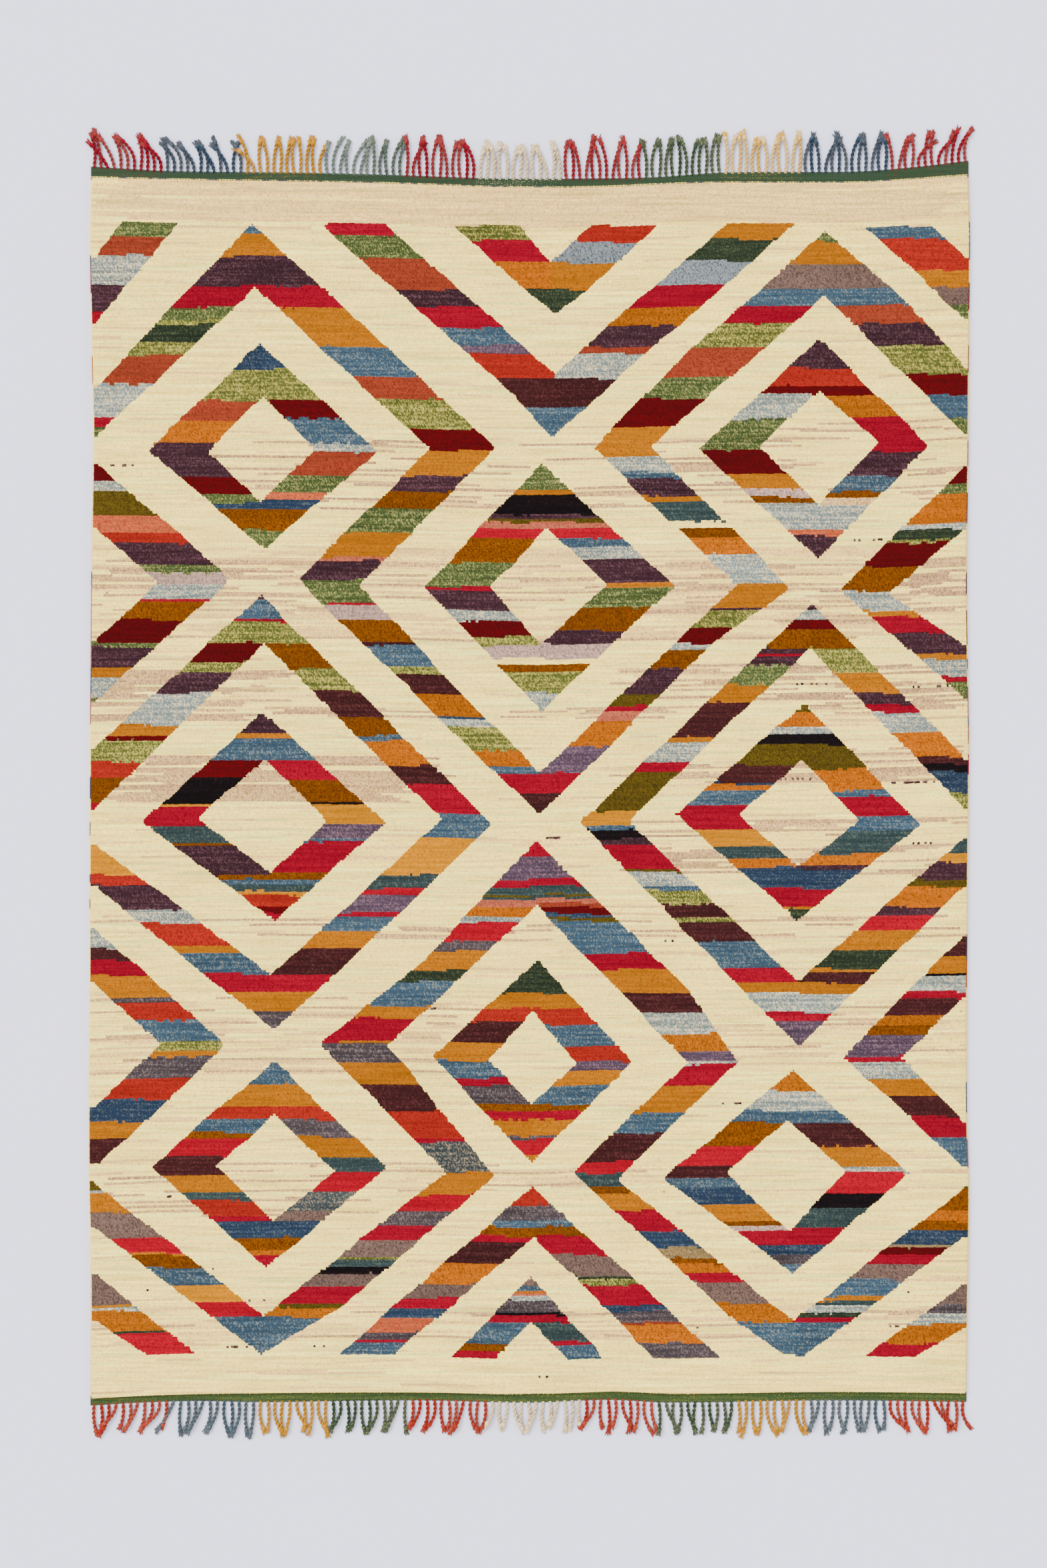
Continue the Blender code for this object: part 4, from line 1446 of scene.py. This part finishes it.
class End:
    """One end of the rug: where its flat-woven strip runs and how its fringe cords lie."""

    def __init__(self, name, side, depths, groups, wool):
        self.name = name
        self.side = side
        self.depths = depths
        self.groups = groups
        self.wool = wool
        self.up = 1.0 if side > 0 else 0.0
        self.left = place(0.0, self.up).x
        self.right = place(1.0, self.up).x
        self.first = self.left - GAP - SIDE_CORD_WIDTH
        self.last = self.right + GAP + SIDE_CORD_WIDTH

    def inner(self, x):
        """The strip's edge beside the pile."""
        share = min(max((x - self.left) / (self.right - self.left), 0.0), 1.0)
        return place(share, self.up).y + self.side * GAP

    def outer(self, x):
        """The strip's edge that carries the fringe."""
        share = (x - self.first) / (self.last - self.first)
        return self.inner(x) + self.side * along(self.depths, share)

    def roots(self):
        """The middles of the cords' roots along the strip."""
        count = sum(group.cords for group in self.groups)
        pitch = (self.last - self.first) / count
        return [self.first + pitch * (k + 0.5) for k in range(count)]

    def cords(self):
        """The cords in order across the strip, their tips drawn together a few at a time."""
        draw = random.Random(FRINGE_SEED + self.side)
        drift = random.Random(FRINGE_SEED * 3 + self.side)
        leans, lengths, wools = [], [], []
        for group in self.groups:
            for k in range(group.cords):
                t = k / (group.cords - 1)
                lean = group.first_lean_mm + (group.last_lean_mm - group.first_lean_mm) * t
                spread = draw.uniform(1 - LENGTH_SPREAD, 1 + LENGTH_SPREAD)
                leans.append(lean * MM)
                lengths.append(group.length_mm * MM * spread)
                wools.append(group.wool)
        roots = self.roots()
        tips = [x + lean for x, lean in zip(roots, leans)]
        bends = [0.0] * len(tips)
        lifts = [0.0] * len(tips)
        for bunch in bunches(draw, len(tips)):
            middle = sum(tips[k] for k in bunch) / len(bunch)
            middle += drift.uniform(-BUNCH_DRIFT, BUNCH_DRIFT)
            gathering = drift.uniform(*GATHERING)
            drawn = [tips[k] + (middle - tips[k]) * gathering for k in bunch]
            if drift.random() < CROSSING:
                drift.shuffle(drawn)
            for order, k in enumerate(bunch):
                tips[k] = drawn[order] + drift.uniform(-TIP_DRIFT, TIP_DRIFT)
                bends[k] = drift.uniform(*BENDS)
                lifts[k] = LIFT_STEP * order
        rows = zip(roots, tips, lengths, bends, lifts, wools)
        return [Cord(x, tip - x, n, bend, lift, name) for x, tip, n, bend, lift, name in rows]


def bunches(draw, count):
    """Neighbouring cords whose tips lie closer together, a few at a time."""
    start = 0
    found = []
    while start < count:
        size = draw.choice(BUNCH_SIZES)
        found.append(range(start, min(start + size, count)))
        start += size
    return found


def cord_middle(end, cord, share):
    """The middle of a fringe cord at a share along it: straight out at first, then leaning."""
    out = math.sqrt(cord.length**2 - cord.reach**2)
    sway = SWAY * math.sin(math.pi * share) * math.copysign(1, -cord.reach)
    x = cord.root + cord.reach * share**cord.bend + sway
    rise = cord.lift * min(1.0, share / 0.6) ** 2
    return Vector((x, end.outer(cord.root) + end.side * out * share, rise))


def cord_girth(share):
    """How thick a fringe cord is at a share along it: even, then swollen where it is knotted."""
    knot = math.exp(-(((share - KNOT_SHARE) / 0.05) ** 2))
    return 1.0 + KNOT_SWELL * knot - 0.15 * max(0.0, (0.06 - share) / 0.06)


def cord_lines(end, cords):
    """Middles of the cords as runs of points, each with its girth, wool and fade."""
    draw = random.Random(FRINGE_SEED * 10 + end.side)
    names = list(WOOLS)
    lines = []
    for cord in cords:
        pale = draw.uniform(0.0, STRAW_FADE if cord.wool == "straw" else PLAIN_FADE)
        points = []
        for k in range(CORD_POINTS + 1):
            share = -ROOT_BURIED + (KNOT_SHARE + 2 * ROOT_BURIED) * k / CORD_POINTS
            spot = cord_middle(end, cord, max(share, 0.0))
            spot.y += end.side * min(share, 0.0) * cord.length
            girth = cord_girth(share)
            spot.z += PLY_THICKNESS * girth
            points.append((spot, girth, names.index(cord.wool), pale))
        lines.append(points)
    return lines


def tuft_lines(end, cords):
    """Loose ends of wool that splay out past each knot."""
    draw = random.Random(FRINGE_SEED * 20 + end.side)
    names = list(WOOLS)
    lines = []
    for cord in cords:
        tip = cord_middle(end, cord, 1.0)
        start = cord_middle(end, cord, KNOT_SHARE + 0.01)
        way = (tip - start).normalized()
        across = Vector((way.y, -way.x, 0.0)).normalized()
        reach = (tip - start).length
        pale = draw.uniform(0.0, STRAW_FADE) if cord.wool == "straw" else TUFT_FADE
        for k in range(TUFT_STRANDS):
            aside = (k / (TUFT_STRANDS - 1) - 0.5) * TUFT_SPREAD
            aside += draw.uniform(-TUFT_ASIDE, TUFT_ASIDE)
            long = reach * draw.uniform(*TUFT_LONG)
            rise = draw.uniform(*TUFT_RISE)
            points = []
            for step in range(4):
                t = step / 3
                splay = TUFT_NARROW + (1 - TUFT_NARROW) * t
                spot = start + way * long * t + across * aside * splay
                spot.z = cord.lift + rise * (1 - 0.5 * t) + TUFT_LIE
                points.append((spot, 1.0 - TUFT_TAPER * t, names.index(cord.wool), pale))
            lines.append(points)
    return lines


def line_mesh(name, lines):
    """A mesh of bare runs of edges that carries the wool, girth and fade of its points."""
    vertices, edges, girths, wools, fades = [], [], [], [], []
    for points in lines:
        start = len(vertices)
        for spot, girth, wool, fade in points:
            vertices.append(spot)
            girths.append(girth)
            wools.append(wool)
            fades.append(fade)
        edges += [(k, k + 1) for k in range(start, len(vertices) - 1)]
    mesh = bpy.data.meshes.new(name)
    mesh.from_pydata(vertices, edges, [])
    mesh.update()
    paint_points(mesh, wools)
    for label, values in (("girth", girths), ("fade", fades)):
        layer = mesh.attributes.new(label, "FLOAT", "POINT")
        layer.data.foreach_set("value", np.array(values, np.float32))
    return mesh


def named(tree, name):
    """A number stored on the geometry."""
    made = add_node(tree, "GeometryNodeInputNamedAttribute", {"Name": name}, data_type="FLOAT")
    return made.outputs["Attribute"]


def end_tree(tree, geometry, material, end):
    """Closes a geometry tree: real geometry, smooth, with its material."""
    real = add_node(tree, "GeometryNodeRealizeInstances", {0: geometry})
    smooth = add_node(tree, "GeometryNodeSetShadeSmooth", {"Geometry": real.outputs[0]})
    dressed = add_node(
        tree, "GeometryNodeSetMaterial", {"Geometry": smooth.outputs[0], "Material": material}
    )
    tree.links.new(dressed.outputs[0], end.inputs[0])


def strand_tree(name, plies):
    """Round strands along runs of edges; with two plies they turn about each other."""
    tree, start, end = new_group(
        name,
        "GeometryNodeTree",
        [
            ("Lines", "NodeSocketGeometry", None),
            ("Ply thickness", "NodeSocketFloat", PLY_THICKNESS),
            ("Turn length", "NodeSocketFloat", TURN_LENGTH),
            ("Sides", "NodeSocketInt", 6),
            ("Material", "NodeSocketMaterial", None),
        ],
        [("Geometry", "NodeSocketGeometry")],
    )
    tree.is_modifier = True
    curve = add_node(tree, "GeometryNodeMeshToCurve", {"Mesh": start.outputs["Lines"]}).outputs[0]
    length = tree.nodes.new("GeometryNodeSplineParameter").outputs["Length"]
    turns = maths(tree, "DIVIDE", length, start.outputs["Turn length"])
    tilt = maths(tree, "MULTIPLY", turns, 2 * math.pi)
    curve = add_node(tree, "GeometryNodeSetCurveTilt", {"Curve": curve, "Tilt": tilt}).outputs[0]
    radius = maths(tree, "MULTIPLY", start.outputs["Ply thickness"], 0.5)
    circle = add_node(
        tree, "GeometryNodeCurvePrimitiveCircle",
        {"Resolution": start.outputs["Sides"], "Radius": radius},
    ).outputs[0]
    profile = circle
    if plies == 2:
        aside = maths(tree, "MULTIPLY", radius, PLIES_APART)
        both = []
        for number, sign in enumerate((1.0, -1.0)):
            move = add_node(
                tree, "ShaderNodeCombineXYZ", {0: maths(tree, "MULTIPLY", aside, sign)}
            ).outputs[0]
            values = {"Geometry": circle, "Translation": move}
            moved = add_node(tree, "GeometryNodeTransform", values)
            marked = add_node(
                tree, "GeometryNodeStoreNamedAttribute",
                {"Geometry": moved.outputs[0], "Name": "ply", "Value": float(number)},
                data_type="FLOAT", domain="POINT",
            )
            both.append(marked.outputs[0])
        join = tree.nodes.new("GeometryNodeJoinGeometry")
        for each in both:
            tree.links.new(each, join.inputs[0])
        profile = join.outputs[0]
    values = {"Curve": curve, "Profile Curve": profile, "Fill Caps": True}
    values["Scale"] = named(tree, "girth")
    mesh = add_node(tree, "GeometryNodeCurveToMesh", values).outputs[0]
    end_tree(tree, mesh, start.outputs["Material"], end)
    return tree


def knot_tree():
    """A small round hitch at every point, turned along its cord."""
    tree, start, end = new_group(
        "hitches",
        "GeometryNodeTree",
        [
            ("Points", "NodeSocketGeometry", None),
            ("Size", "NodeSocketFloat", HITCH_SIZE),
            ("Seed", "NodeSocketInt", 3),
            ("Material", "NodeSocketMaterial", None),
        ],
        [("Geometry", "NodeSocketGeometry")],
    )
    tree.is_modifier = True
    values = {"Radius": start.outputs["Size"], "Subdivisions": 2}
    ball = add_node(tree, "GeometryNodeMeshIcoSphere", values)
    size = add_node(
        tree, "FunctionNodeRandomValue",
        {"Min": (0.90, 0.85, 0.70), "Max": (1.12, 1.15, 0.84), "Seed": start.outputs["Seed"]},
        data_type="FLOAT_VECTOR",
    ).outputs["Value"]
    placed = add_node(
        tree, "GeometryNodeInstanceOnPoints",
        {"Points": start.outputs["Points"], "Instance": ball.outputs["Mesh"], "Scale": size},
    ).outputs[0]
    end_tree(tree, placed, start.outputs["Material"], end)
    return tree


def grow(name, mesh, tree, values):
    """Runs a geometry tree on a mesh and returns the result as a plain mesh."""
    holder = bpy.data.objects.new(name, mesh)
    bpy.context.scene.collection.objects.link(holder)
    modifier = holder.modifiers.new("grow", "NODES")
    modifier.node_group = tree
    sockets = {s.name: s.identifier for s in tree.interface.items_tree if s.in_out == "INPUT"}
    for label, value in values.items():
        modifier[sockets[label]] = value
    graph = bpy.context.evaluated_depsgraph_get()
    made = bpy.data.meshes.new_from_object(holder.evaluated_get(graph))
    holder.modifiers.remove(modifier)
    bpy.data.objects.remove(holder)
    made.name = name
    return made


def joined(name, parts):
    """Several meshes as one, with all their attributes and materials."""
    objects = []
    for part in parts:
        each = bpy.data.objects.new(name, part)
        bpy.context.scene.collection.objects.link(each)
        objects.append(each)
    with bpy.context.temp_override(
        active_object=objects[0], object=objects[0],
        selected_objects=objects, selected_editable_objects=objects,
    ):
        bpy.ops.object.join()
    mesh = objects[0].data
    bpy.data.objects.remove(objects[0])
    return mesh


def strip_mesh(end, cords):
    """The flat-woven strip: rounded edges, and a small swell where every cord grows out."""
    names = list(WOOLS)
    draw = np.random.default_rng(SEED + end.side)
    stations = np.linspace(end.first, end.last, 2 * len(cords) + 1)
    bevel = end.side * STRIP_BEVEL
    vertices = []
    for number, x in enumerate(stations):
        swell = ROOT_SWELL * (1 if number % 2 else -1)
        inner = end.inner(x)
        outer = end.outer(x) + end.side * swell
        height = KILIM_THICKNESS + STRIP_UNEVEN * draw.uniform(-1, 1)
        vertices.append((x, inner, 0.0))
        vertices.append((x, inner, height - STRIP_BEVEL))
        for k in range(STRIP_ROWS + 1):
            t = k / STRIP_ROWS
            y = inner + bevel + (outer - inner - 2 * bevel) * t
            vertices.append((x, y, height))
        vertices.append((x, outer, height - STRIP_BEVEL))
        vertices.append((x, outer, 0.0))
    ring = STRIP_ROWS + 5
    faces = []
    for a in range(len(stations) - 1):
        for k in range(ring):
            n = (k + 1) % ring
            faces.append((a * ring + k, a * ring + n, (a + 1) * ring + n, (a + 1) * ring + k))
    last = (len(stations) - 1) * ring
    faces.append(tuple(range(ring))[::-1])
    faces.append(tuple(range(last, last + ring)))
    if end.side > 0:
        faces = [face[::-1] for face in faces]
    mesh = bpy.data.meshes.new(end.name + "_strip")
    mesh.from_pydata(vertices, [], faces)
    mesh.update()
    colours, flecks = wool_table(names)
    beside = [names.index(cords[min(k // 2, len(cords) - 1)].wool) for k in range(len(stations))]
    own = names.index(end.wool)
    strays = np.repeat(colours[beside], ring, axis=0)
    strays[:, 3] = STRAY_SHARE
    if end.side < 0:
        strays = np.repeat(flecks[[own]], len(vertices), axis=0)
    paint_mesh(mesh, "POINT", np.repeat(colours[[own]], len(vertices), axis=0), strays)
    mesh.shade_smooth()
    mesh.set_sharp_from_angle(angle=math.radians(50))
    return mesh


def twined_line(end):
    """The pale line of twining along the head strip, beside the pile."""
    names = list(WOOLS)
    draw = random.Random(SEED)
    points = []
    for k in range(TWINE_POINTS + 1):
        x = end.first + (end.last - end.first) * k / TWINE_POINTS
        spot = Vector((x, end.inner(x) + end.side * TWINE_OUT, TWINE_HEIGHT))
        name = "mist" if draw.random() < GREY_SHARE else "milk"
        points.append((spot, 1.0, names.index(name), 0.0))
    return points


def side_line(table, side):
    """The middle of a side cord from head to foot, with the wool of each stretch."""
    names = list(WOOLS)
    pairs = [bar.rsplit(" ", 1) for bar in table.split(", ")]
    ends = [float(end) for _, end in pairs]
    across = 1.0 if side > 0 else 0.0
    points = []
    for k in range(SIDE_POINTS + 1):
        up = 1 - k / SIDE_POINTS
        spot = place(across, up)
        spot.x += side * (GAP + SIDE_CORD_WIDTH / 2)
        spot.z = SIDE_CORD_HEIGHT / 2
        step = CHART_MIDDLE[1] - spot.y / CHART_STEP
        number = int(np.searchsorted(ends, step))
        wool = names.index(pairs[min(number, len(pairs) - 1)][0])
        points.append((spot, 1.0, wool, 0.0))
    return points


def wrap_tree():
    """Wool wrapped round and round a cord: a round section that swells at every turn."""
    tree, start, end = new_group(
        "overcasting",
        "GeometryNodeTree",
        [
            ("Lines", "NodeSocketGeometry", None),
            ("Wrap pitch", "NodeSocketFloat", 0.0026),
            ("Thickness", "NodeSocketFloat", 0.006),
            ("Swell", "NodeSocketFloat", 0.14),
            ("Material", "NodeSocketMaterial", None),
        ],
        [("Geometry", "NodeSocketGeometry")],
    )
    tree.is_modifier = True
    curve = add_node(tree, "GeometryNodeMeshToCurve", {"Mesh": start.outputs["Lines"]}).outputs[0]
    step = maths(tree, "MULTIPLY", start.outputs["Wrap pitch"], 0.5)
    resample = tree.nodes.new("GeometryNodeResampleCurve")
    resample.mode = "LENGTH"
    tree.links.new(curve, resample.inputs["Curve"])
    tree.links.new(step, resample.inputs["Length"])
    index = tree.nodes.new("GeometryNodeInputIndex").outputs[0]
    odd = maths(tree, "MODULO", index, 2.0)
    girth = maths(tree, "SUBTRACT", 1.0, maths(tree, "MULTIPLY", odd, start.outputs["Swell"]))
    circle = add_node(
        tree, "GeometryNodeCurvePrimitiveCircle",
        {"Resolution": 8, "Radius": maths(tree, "MULTIPLY", start.outputs["Thickness"], 0.5)},
    ).outputs[0]
    mesh = add_node(
        tree, "GeometryNodeCurveToMesh",
        {"Curve": resample.outputs[0], "Profile Curve": circle, "Scale": girth, "Fill Caps": True},
    ).outputs[0]
    end_tree(tree, mesh, start.outputs["Material"], end)
    return tree


class RUG_OT_pile(bpy.types.Operator):
    """Knots the pile from its chart and lays it over its solid."""

    bl_idname = "rug.pile"
    bl_label = "Knotted pile"

    def execute(self, context):
        builder = PileMesh(*Chart().finished())
        mesh = builder.mesh()
        lay_flat_map(mesh, builder.back_start)
        material = pile_material(context.scene.rug_sizes.pile_relief)
        piece = new_piece("pile", mesh, material)
        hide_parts("pile_field")
        return {"FINISHED"}


def tuft_points(knots, tones):
    """Where tufts stand out all round the pile, with their wools and the way each one points."""
    colours, flecks = wool_table(list(WOOLS))
    spacing = bpy.context.scene.rug_sizes.tuft_spacing
    spots, ways, wools, stains = [], [], [], []
    along_side = np.arange(0, PILE_LENGTH, spacing) / PILE_LENGTH
    along_end = np.arange(0, PILE_WIDTH, spacing) / PILE_WIDTH
    for fixed, shares, way in (
        ((0.0, None), along_side, (-1.0, 0.0)),
        ((1.0, None), along_side, (1.0, 0.0)),
        ((None, 0.0), along_end, (0.0, -1.0)),
        ((None, 1.0), along_end, (0.0, 1.0)),
    ):
        for share in shares:
            across = share if fixed[0] is None else fixed[0]
            up = share if fixed[1] is None else fixed[1]
            row = min(int((1 - up) * KNOT_ROWS), KNOT_ROWS - 1)
            column = min(int(across * KNOTS_ACROSS), KNOTS_ACROSS - 1)
            for height in TUFT_HEIGHTS:
                spot = place(across, up) - Vector((*way, 0.0)) * TUFT_ROOT
                spots.append((spot.x, spot.y, height))
                ways.append((*way, 0.0))
                colour = colours[knots[row, column]].copy()
                colour[:3] *= tones[row, column]
                wools.append(colour)
                stains.append(flecks[knots[row, column]])
    mesh = bpy.data.meshes.new("tufts")
    mesh.from_pydata(spots, [], [])
    paint_mesh(mesh, "POINT", wools, stains)
    layer = mesh.attributes.new("way", "FLOAT_VECTOR", "POINT")
    layer.data.foreach_set("vector", np.array(ways, np.float32).ravel())
    return mesh


def tuft_tree():
    """A small tapering tuft at every point, leaning out from the pile and a little to one side."""
    tree, start, end = new_group(
        "edge tufts",
        "GeometryNodeTree",
        [
            ("Points", "NodeSocketGeometry", None),
            ("Reach", "NodeSocketFloat", 0.0055),
            ("Seed", "NodeSocketInt", 5),
            ("Material", "NodeSocketMaterial", None),
        ],
        [("Geometry", "NodeSocketGeometry")],
    )
    tree.is_modifier = True
    cone = add_node(
        tree, "GeometryNodeMeshCone",
        {"Vertices": 5, "Side Segments": 1, "Radius Top": 0.0007, "Radius Bottom": 0.0020,
         "Depth": start.outputs["Reach"]},
    ).outputs["Mesh"]
    way = add_node(
        tree, "GeometryNodeInputNamedAttribute", {"Name": "way"}, data_type="FLOAT_VECTOR"
    ).outputs["Attribute"]
    shift = add_node(
        tree, "FunctionNodeRandomValue",
        {"Min": (-0.45, -0.45, -0.50), "Max": (0.45, 0.45, 0.25), "Seed": start.outputs["Seed"]},
        data_type="FLOAT_VECTOR",
    ).outputs["Value"]
    leaning = add_node(tree, "ShaderNodeVectorMath", {0: way, 1: shift}, operation="ADD").outputs[0]
    turn = add_node(
        tree, "FunctionNodeAlignRotationToVector", {"Vector": leaning}, axis="Z"
    ).outputs["Rotation"]
    size = add_node(
        tree, "FunctionNodeRandomValue",
        {"Min": (0.7, 0.7, 0.65), "Max": (1.2, 1.2, 1.35), "Seed": start.outputs["Seed"]},
        data_type="FLOAT_VECTOR",
    ).outputs["Value"]
    placed = add_node(
        tree, "GeometryNodeInstanceOnPoints",
        {"Points": start.outputs["Points"], "Instance": cone, "Rotation": turn, "Scale": size},
    ).outputs[0]
    end_tree(tree, placed, start.outputs["Material"], end)
    return tree


class RUG_OT_edge_tufts(bpy.types.Operator):
    """Lets tufts of pile stand out all round its edge."""

    bl_idname = "rug.edge_tufts"
    bl_label = "Tufts along the pile's edge"

    def execute(self, context):
        sizes = context.scene.rug_sizes
        material = bpy.data.materials.get("knotted wool") or pile_material(sizes.pile_relief)
        values = {"Reach": sizes.tuft_reach, "Material": material}
        mesh = grow("pile_edge", tuft_points(*Chart().finished()), tuft_tree(), values)
        new_piece("pile_edge", mesh, None)
        return {"FINISHED"}


class RUG_OT_side_cords(bpy.types.Operator):
    """Overcasts the cords along both sides with wool."""

    bl_idname = "rug.side_cords"
    bl_label = "Side cords"

    def execute(self, context):
        sizes = context.scene.rug_sizes
        material = bpy.data.materials.get("twisted wool") or cord_material()
        tree = wrap_tree()
        for name, table, side in (
            ("side_cord_left", LEFT_SIDE, -1),
            ("side_cord_right", RIGHT_SIDE, 1),
        ):
            line = line_mesh("overcast_" + name, [side_line(table, side)])
            values = {"Wrap pitch": sizes.wrap_pitch, "Material": material}
            mesh = grow("overcast_" + name, line, tree, values)
            piece = new_piece("overcast_" + name, mesh, None)
            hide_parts(name)
        return {"FINISHED"}


class RUG_OT_ends(bpy.types.Operator):
    """Weaves the flat strips at both ends and twists, knots and lays their fringes."""

    bl_idname = "rug.ends"
    bl_label = "Flat-woven ends and fringes"

    def execute(self, context):
        weave = kilim_material()
        wool = bpy.data.materials.get("twisted wool") or cord_material()
        trees = (strand_tree("twisted cords", 2), strand_tree("loose ends", 1), knot_tree())
        for end in (
            End("kilim_end_head", 1, HEAD_DEPTHS, HEAD_GROUPS, "strip green"),
            End("kilim_end_foot", -1, FOOT_DEPTHS, FOOT_GROUPS, "spring green"),
        ):
            parts = end_parts(end, trees, weave, wool, context.scene.rug_sizes)
            piece = new_piece("woven_" + end.name, joined(end.name, parts), None)
            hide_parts(end.name)
        return {"FINISHED"}


def end_parts(end, trees, weave, wool, sizes):
    """The strip of one end with its cords, loose ends and knots, and the twining at the head."""
    cord_tree, loose_tree, hitches = trees
    cords = end.cords()
    strip = strip_mesh(end, cords)
    strip.materials.append(weave)
    lines = cord_lines(end, cords)
    values = strand_values(sizes.ply_thickness, sizes.turn_length, 6, wool)
    twisted = grow("cords", line_mesh("cords", lines), cord_tree, values)
    values = strand_values(TUFT_THICKNESS, 1.0, 4, wool)
    tufts = grow("tufts", line_mesh("tufts", tuft_lines(end, cords)), loose_tree, values)
    at_knot = [[points[round(CORD_POINTS * HITCH_AT)]] for points in lines]
    values = {"Size": HITCH_SIZE, "Material": wool}
    knots = grow("hitches", line_mesh("hitches", at_knot), hitches, values)
    parts = [strip, twisted, tufts, knots]
    if end.side > 0:
        values = strand_values(TWINE_PLY, TWINE_TURN, 5, wool)
        line = line_mesh("twining", [twined_line(end)])
        parts.append(grow("twining", line, cord_tree, values))
    return parts


def strand_values(thickness, turn, sides, wool):
    """Inputs of a tree that twists strands."""
    return {"Ply thickness": thickness, "Turn length": turn, "Sides": sides, "Material": wool}


class RUG_OT_stage(bpy.types.Operator):
    """Sets the pale floor, the soft light and the camera overhead."""

    bl_idname = "rug.stage"
    bl_label = "Floor, light and camera"

    def execute(self, context):
        mesh = bpy.data.meshes.new("floor")
        half = FLOOR_HALF
        corners = [(-half, -half, 0.0), (half, -half, 0.0), (half, half, 0.0), (-half, half, 0.0)]
        mesh.from_pydata(corners, [], [(0, 1, 2, 3)])
        mesh.materials.append(floor_material(context.scene.rug_colours.floor))
        floor = bpy.data.objects.new("floor", mesh)
        context.scene.collection.objects.link(floor)
        set_light(context.scene)
        set_camera(context.scene)
        return {"FINISHED"}


def set_light(scene):
    """A bright even room and one soft light from the upper left."""
    world = bpy.data.worlds.new("room")
    world.use_nodes = True
    background = world.node_tree.nodes["Background"]
    background.inputs["Color"].default_value = (*LIGHT_TINT, 1.0)
    background.inputs["Strength"].default_value = ROOM_STRENGTH
    scene.world = world
    lamp = bpy.data.lights.new("soft key", "SUN")
    lamp.energy = SUN_STRENGTH
    lamp.angle = SUN_ANGLE
    lamp.color = LIGHT_TINT
    light = bpy.data.objects.new("soft key", lamp)
    light.location = SUN_PLACE
    light.rotation_euler = (-light.location).to_track_quat("-Z", "Y").to_euler()
    scene.collection.objects.link(light)


def set_camera(scene):
    """A long lens straight above the rug."""
    data = bpy.data.cameras.new("overhead")
    data.lens = LENS
    data.sensor_width = SENSOR
    data.clip_end = 100.0
    camera = bpy.data.objects.new("overhead", data)
    distance = FRAME_HEIGHT * LENS / data.sensor_width
    camera.location = (*FRAME_MIDDLE, distance + PILE_THICKNESS)
    camera.rotation_euler = (0.0, 0.0, 0.0)
    scene.collection.objects.link(camera)
    scene.camera = camera


class RUG_PT_pieces(bpy.types.Panel):
    """Lists the rug's pieces with their sizes and colours."""

    bl_idname = "RUG_PT_pieces"
    bl_label = "Gabbeh rug"
    bl_space_type = "VIEW_3D"
    bl_region_type = "UI"
    bl_category = "Rug"

    def draw(self, context):
        layout = self.layout
        for group in (context.scene.rug_sizes, context.scene.rug_colours):
            for name in group.__annotations__:
                layout.prop(group, name)
        for operator in OPERATORS:
            layout.operator(operator.bl_idname)


OPERATORS = (RUG_OT_stage, RUG_OT_pile, RUG_OT_edge_tufts, RUG_OT_side_cords, RUG_OT_ends)
CLASSES = (RugSizes, RugColours, *OPERATORS, RUG_PT_pieces)


def register():
    """Makes the properties, the operators and the panel known."""
    for each in CLASSES:
        bpy.utils.register_class(each)
    bpy.types.Scene.rug_sizes = bpy.props.PointerProperty(type=RugSizes)
    bpy.types.Scene.rug_colours = bpy.props.PointerProperty(type=RugColours)


def unregister():
    """Takes them away again."""
    del bpy.types.Scene.rug_colours
    del bpy.types.Scene.rug_sizes
    for each in reversed(CLASSES):
        bpy.utils.unregister_class(each)


def main():
    """Builds every piece in order."""
    register()
    bpy.ops.rug.stage()
    bpy.ops.rug.pile()
    bpy.ops.rug.edge_tufts()
    bpy.ops.rug.side_cords()
    bpy.ops.rug.ends()


if __name__ == "__main__":
    main()
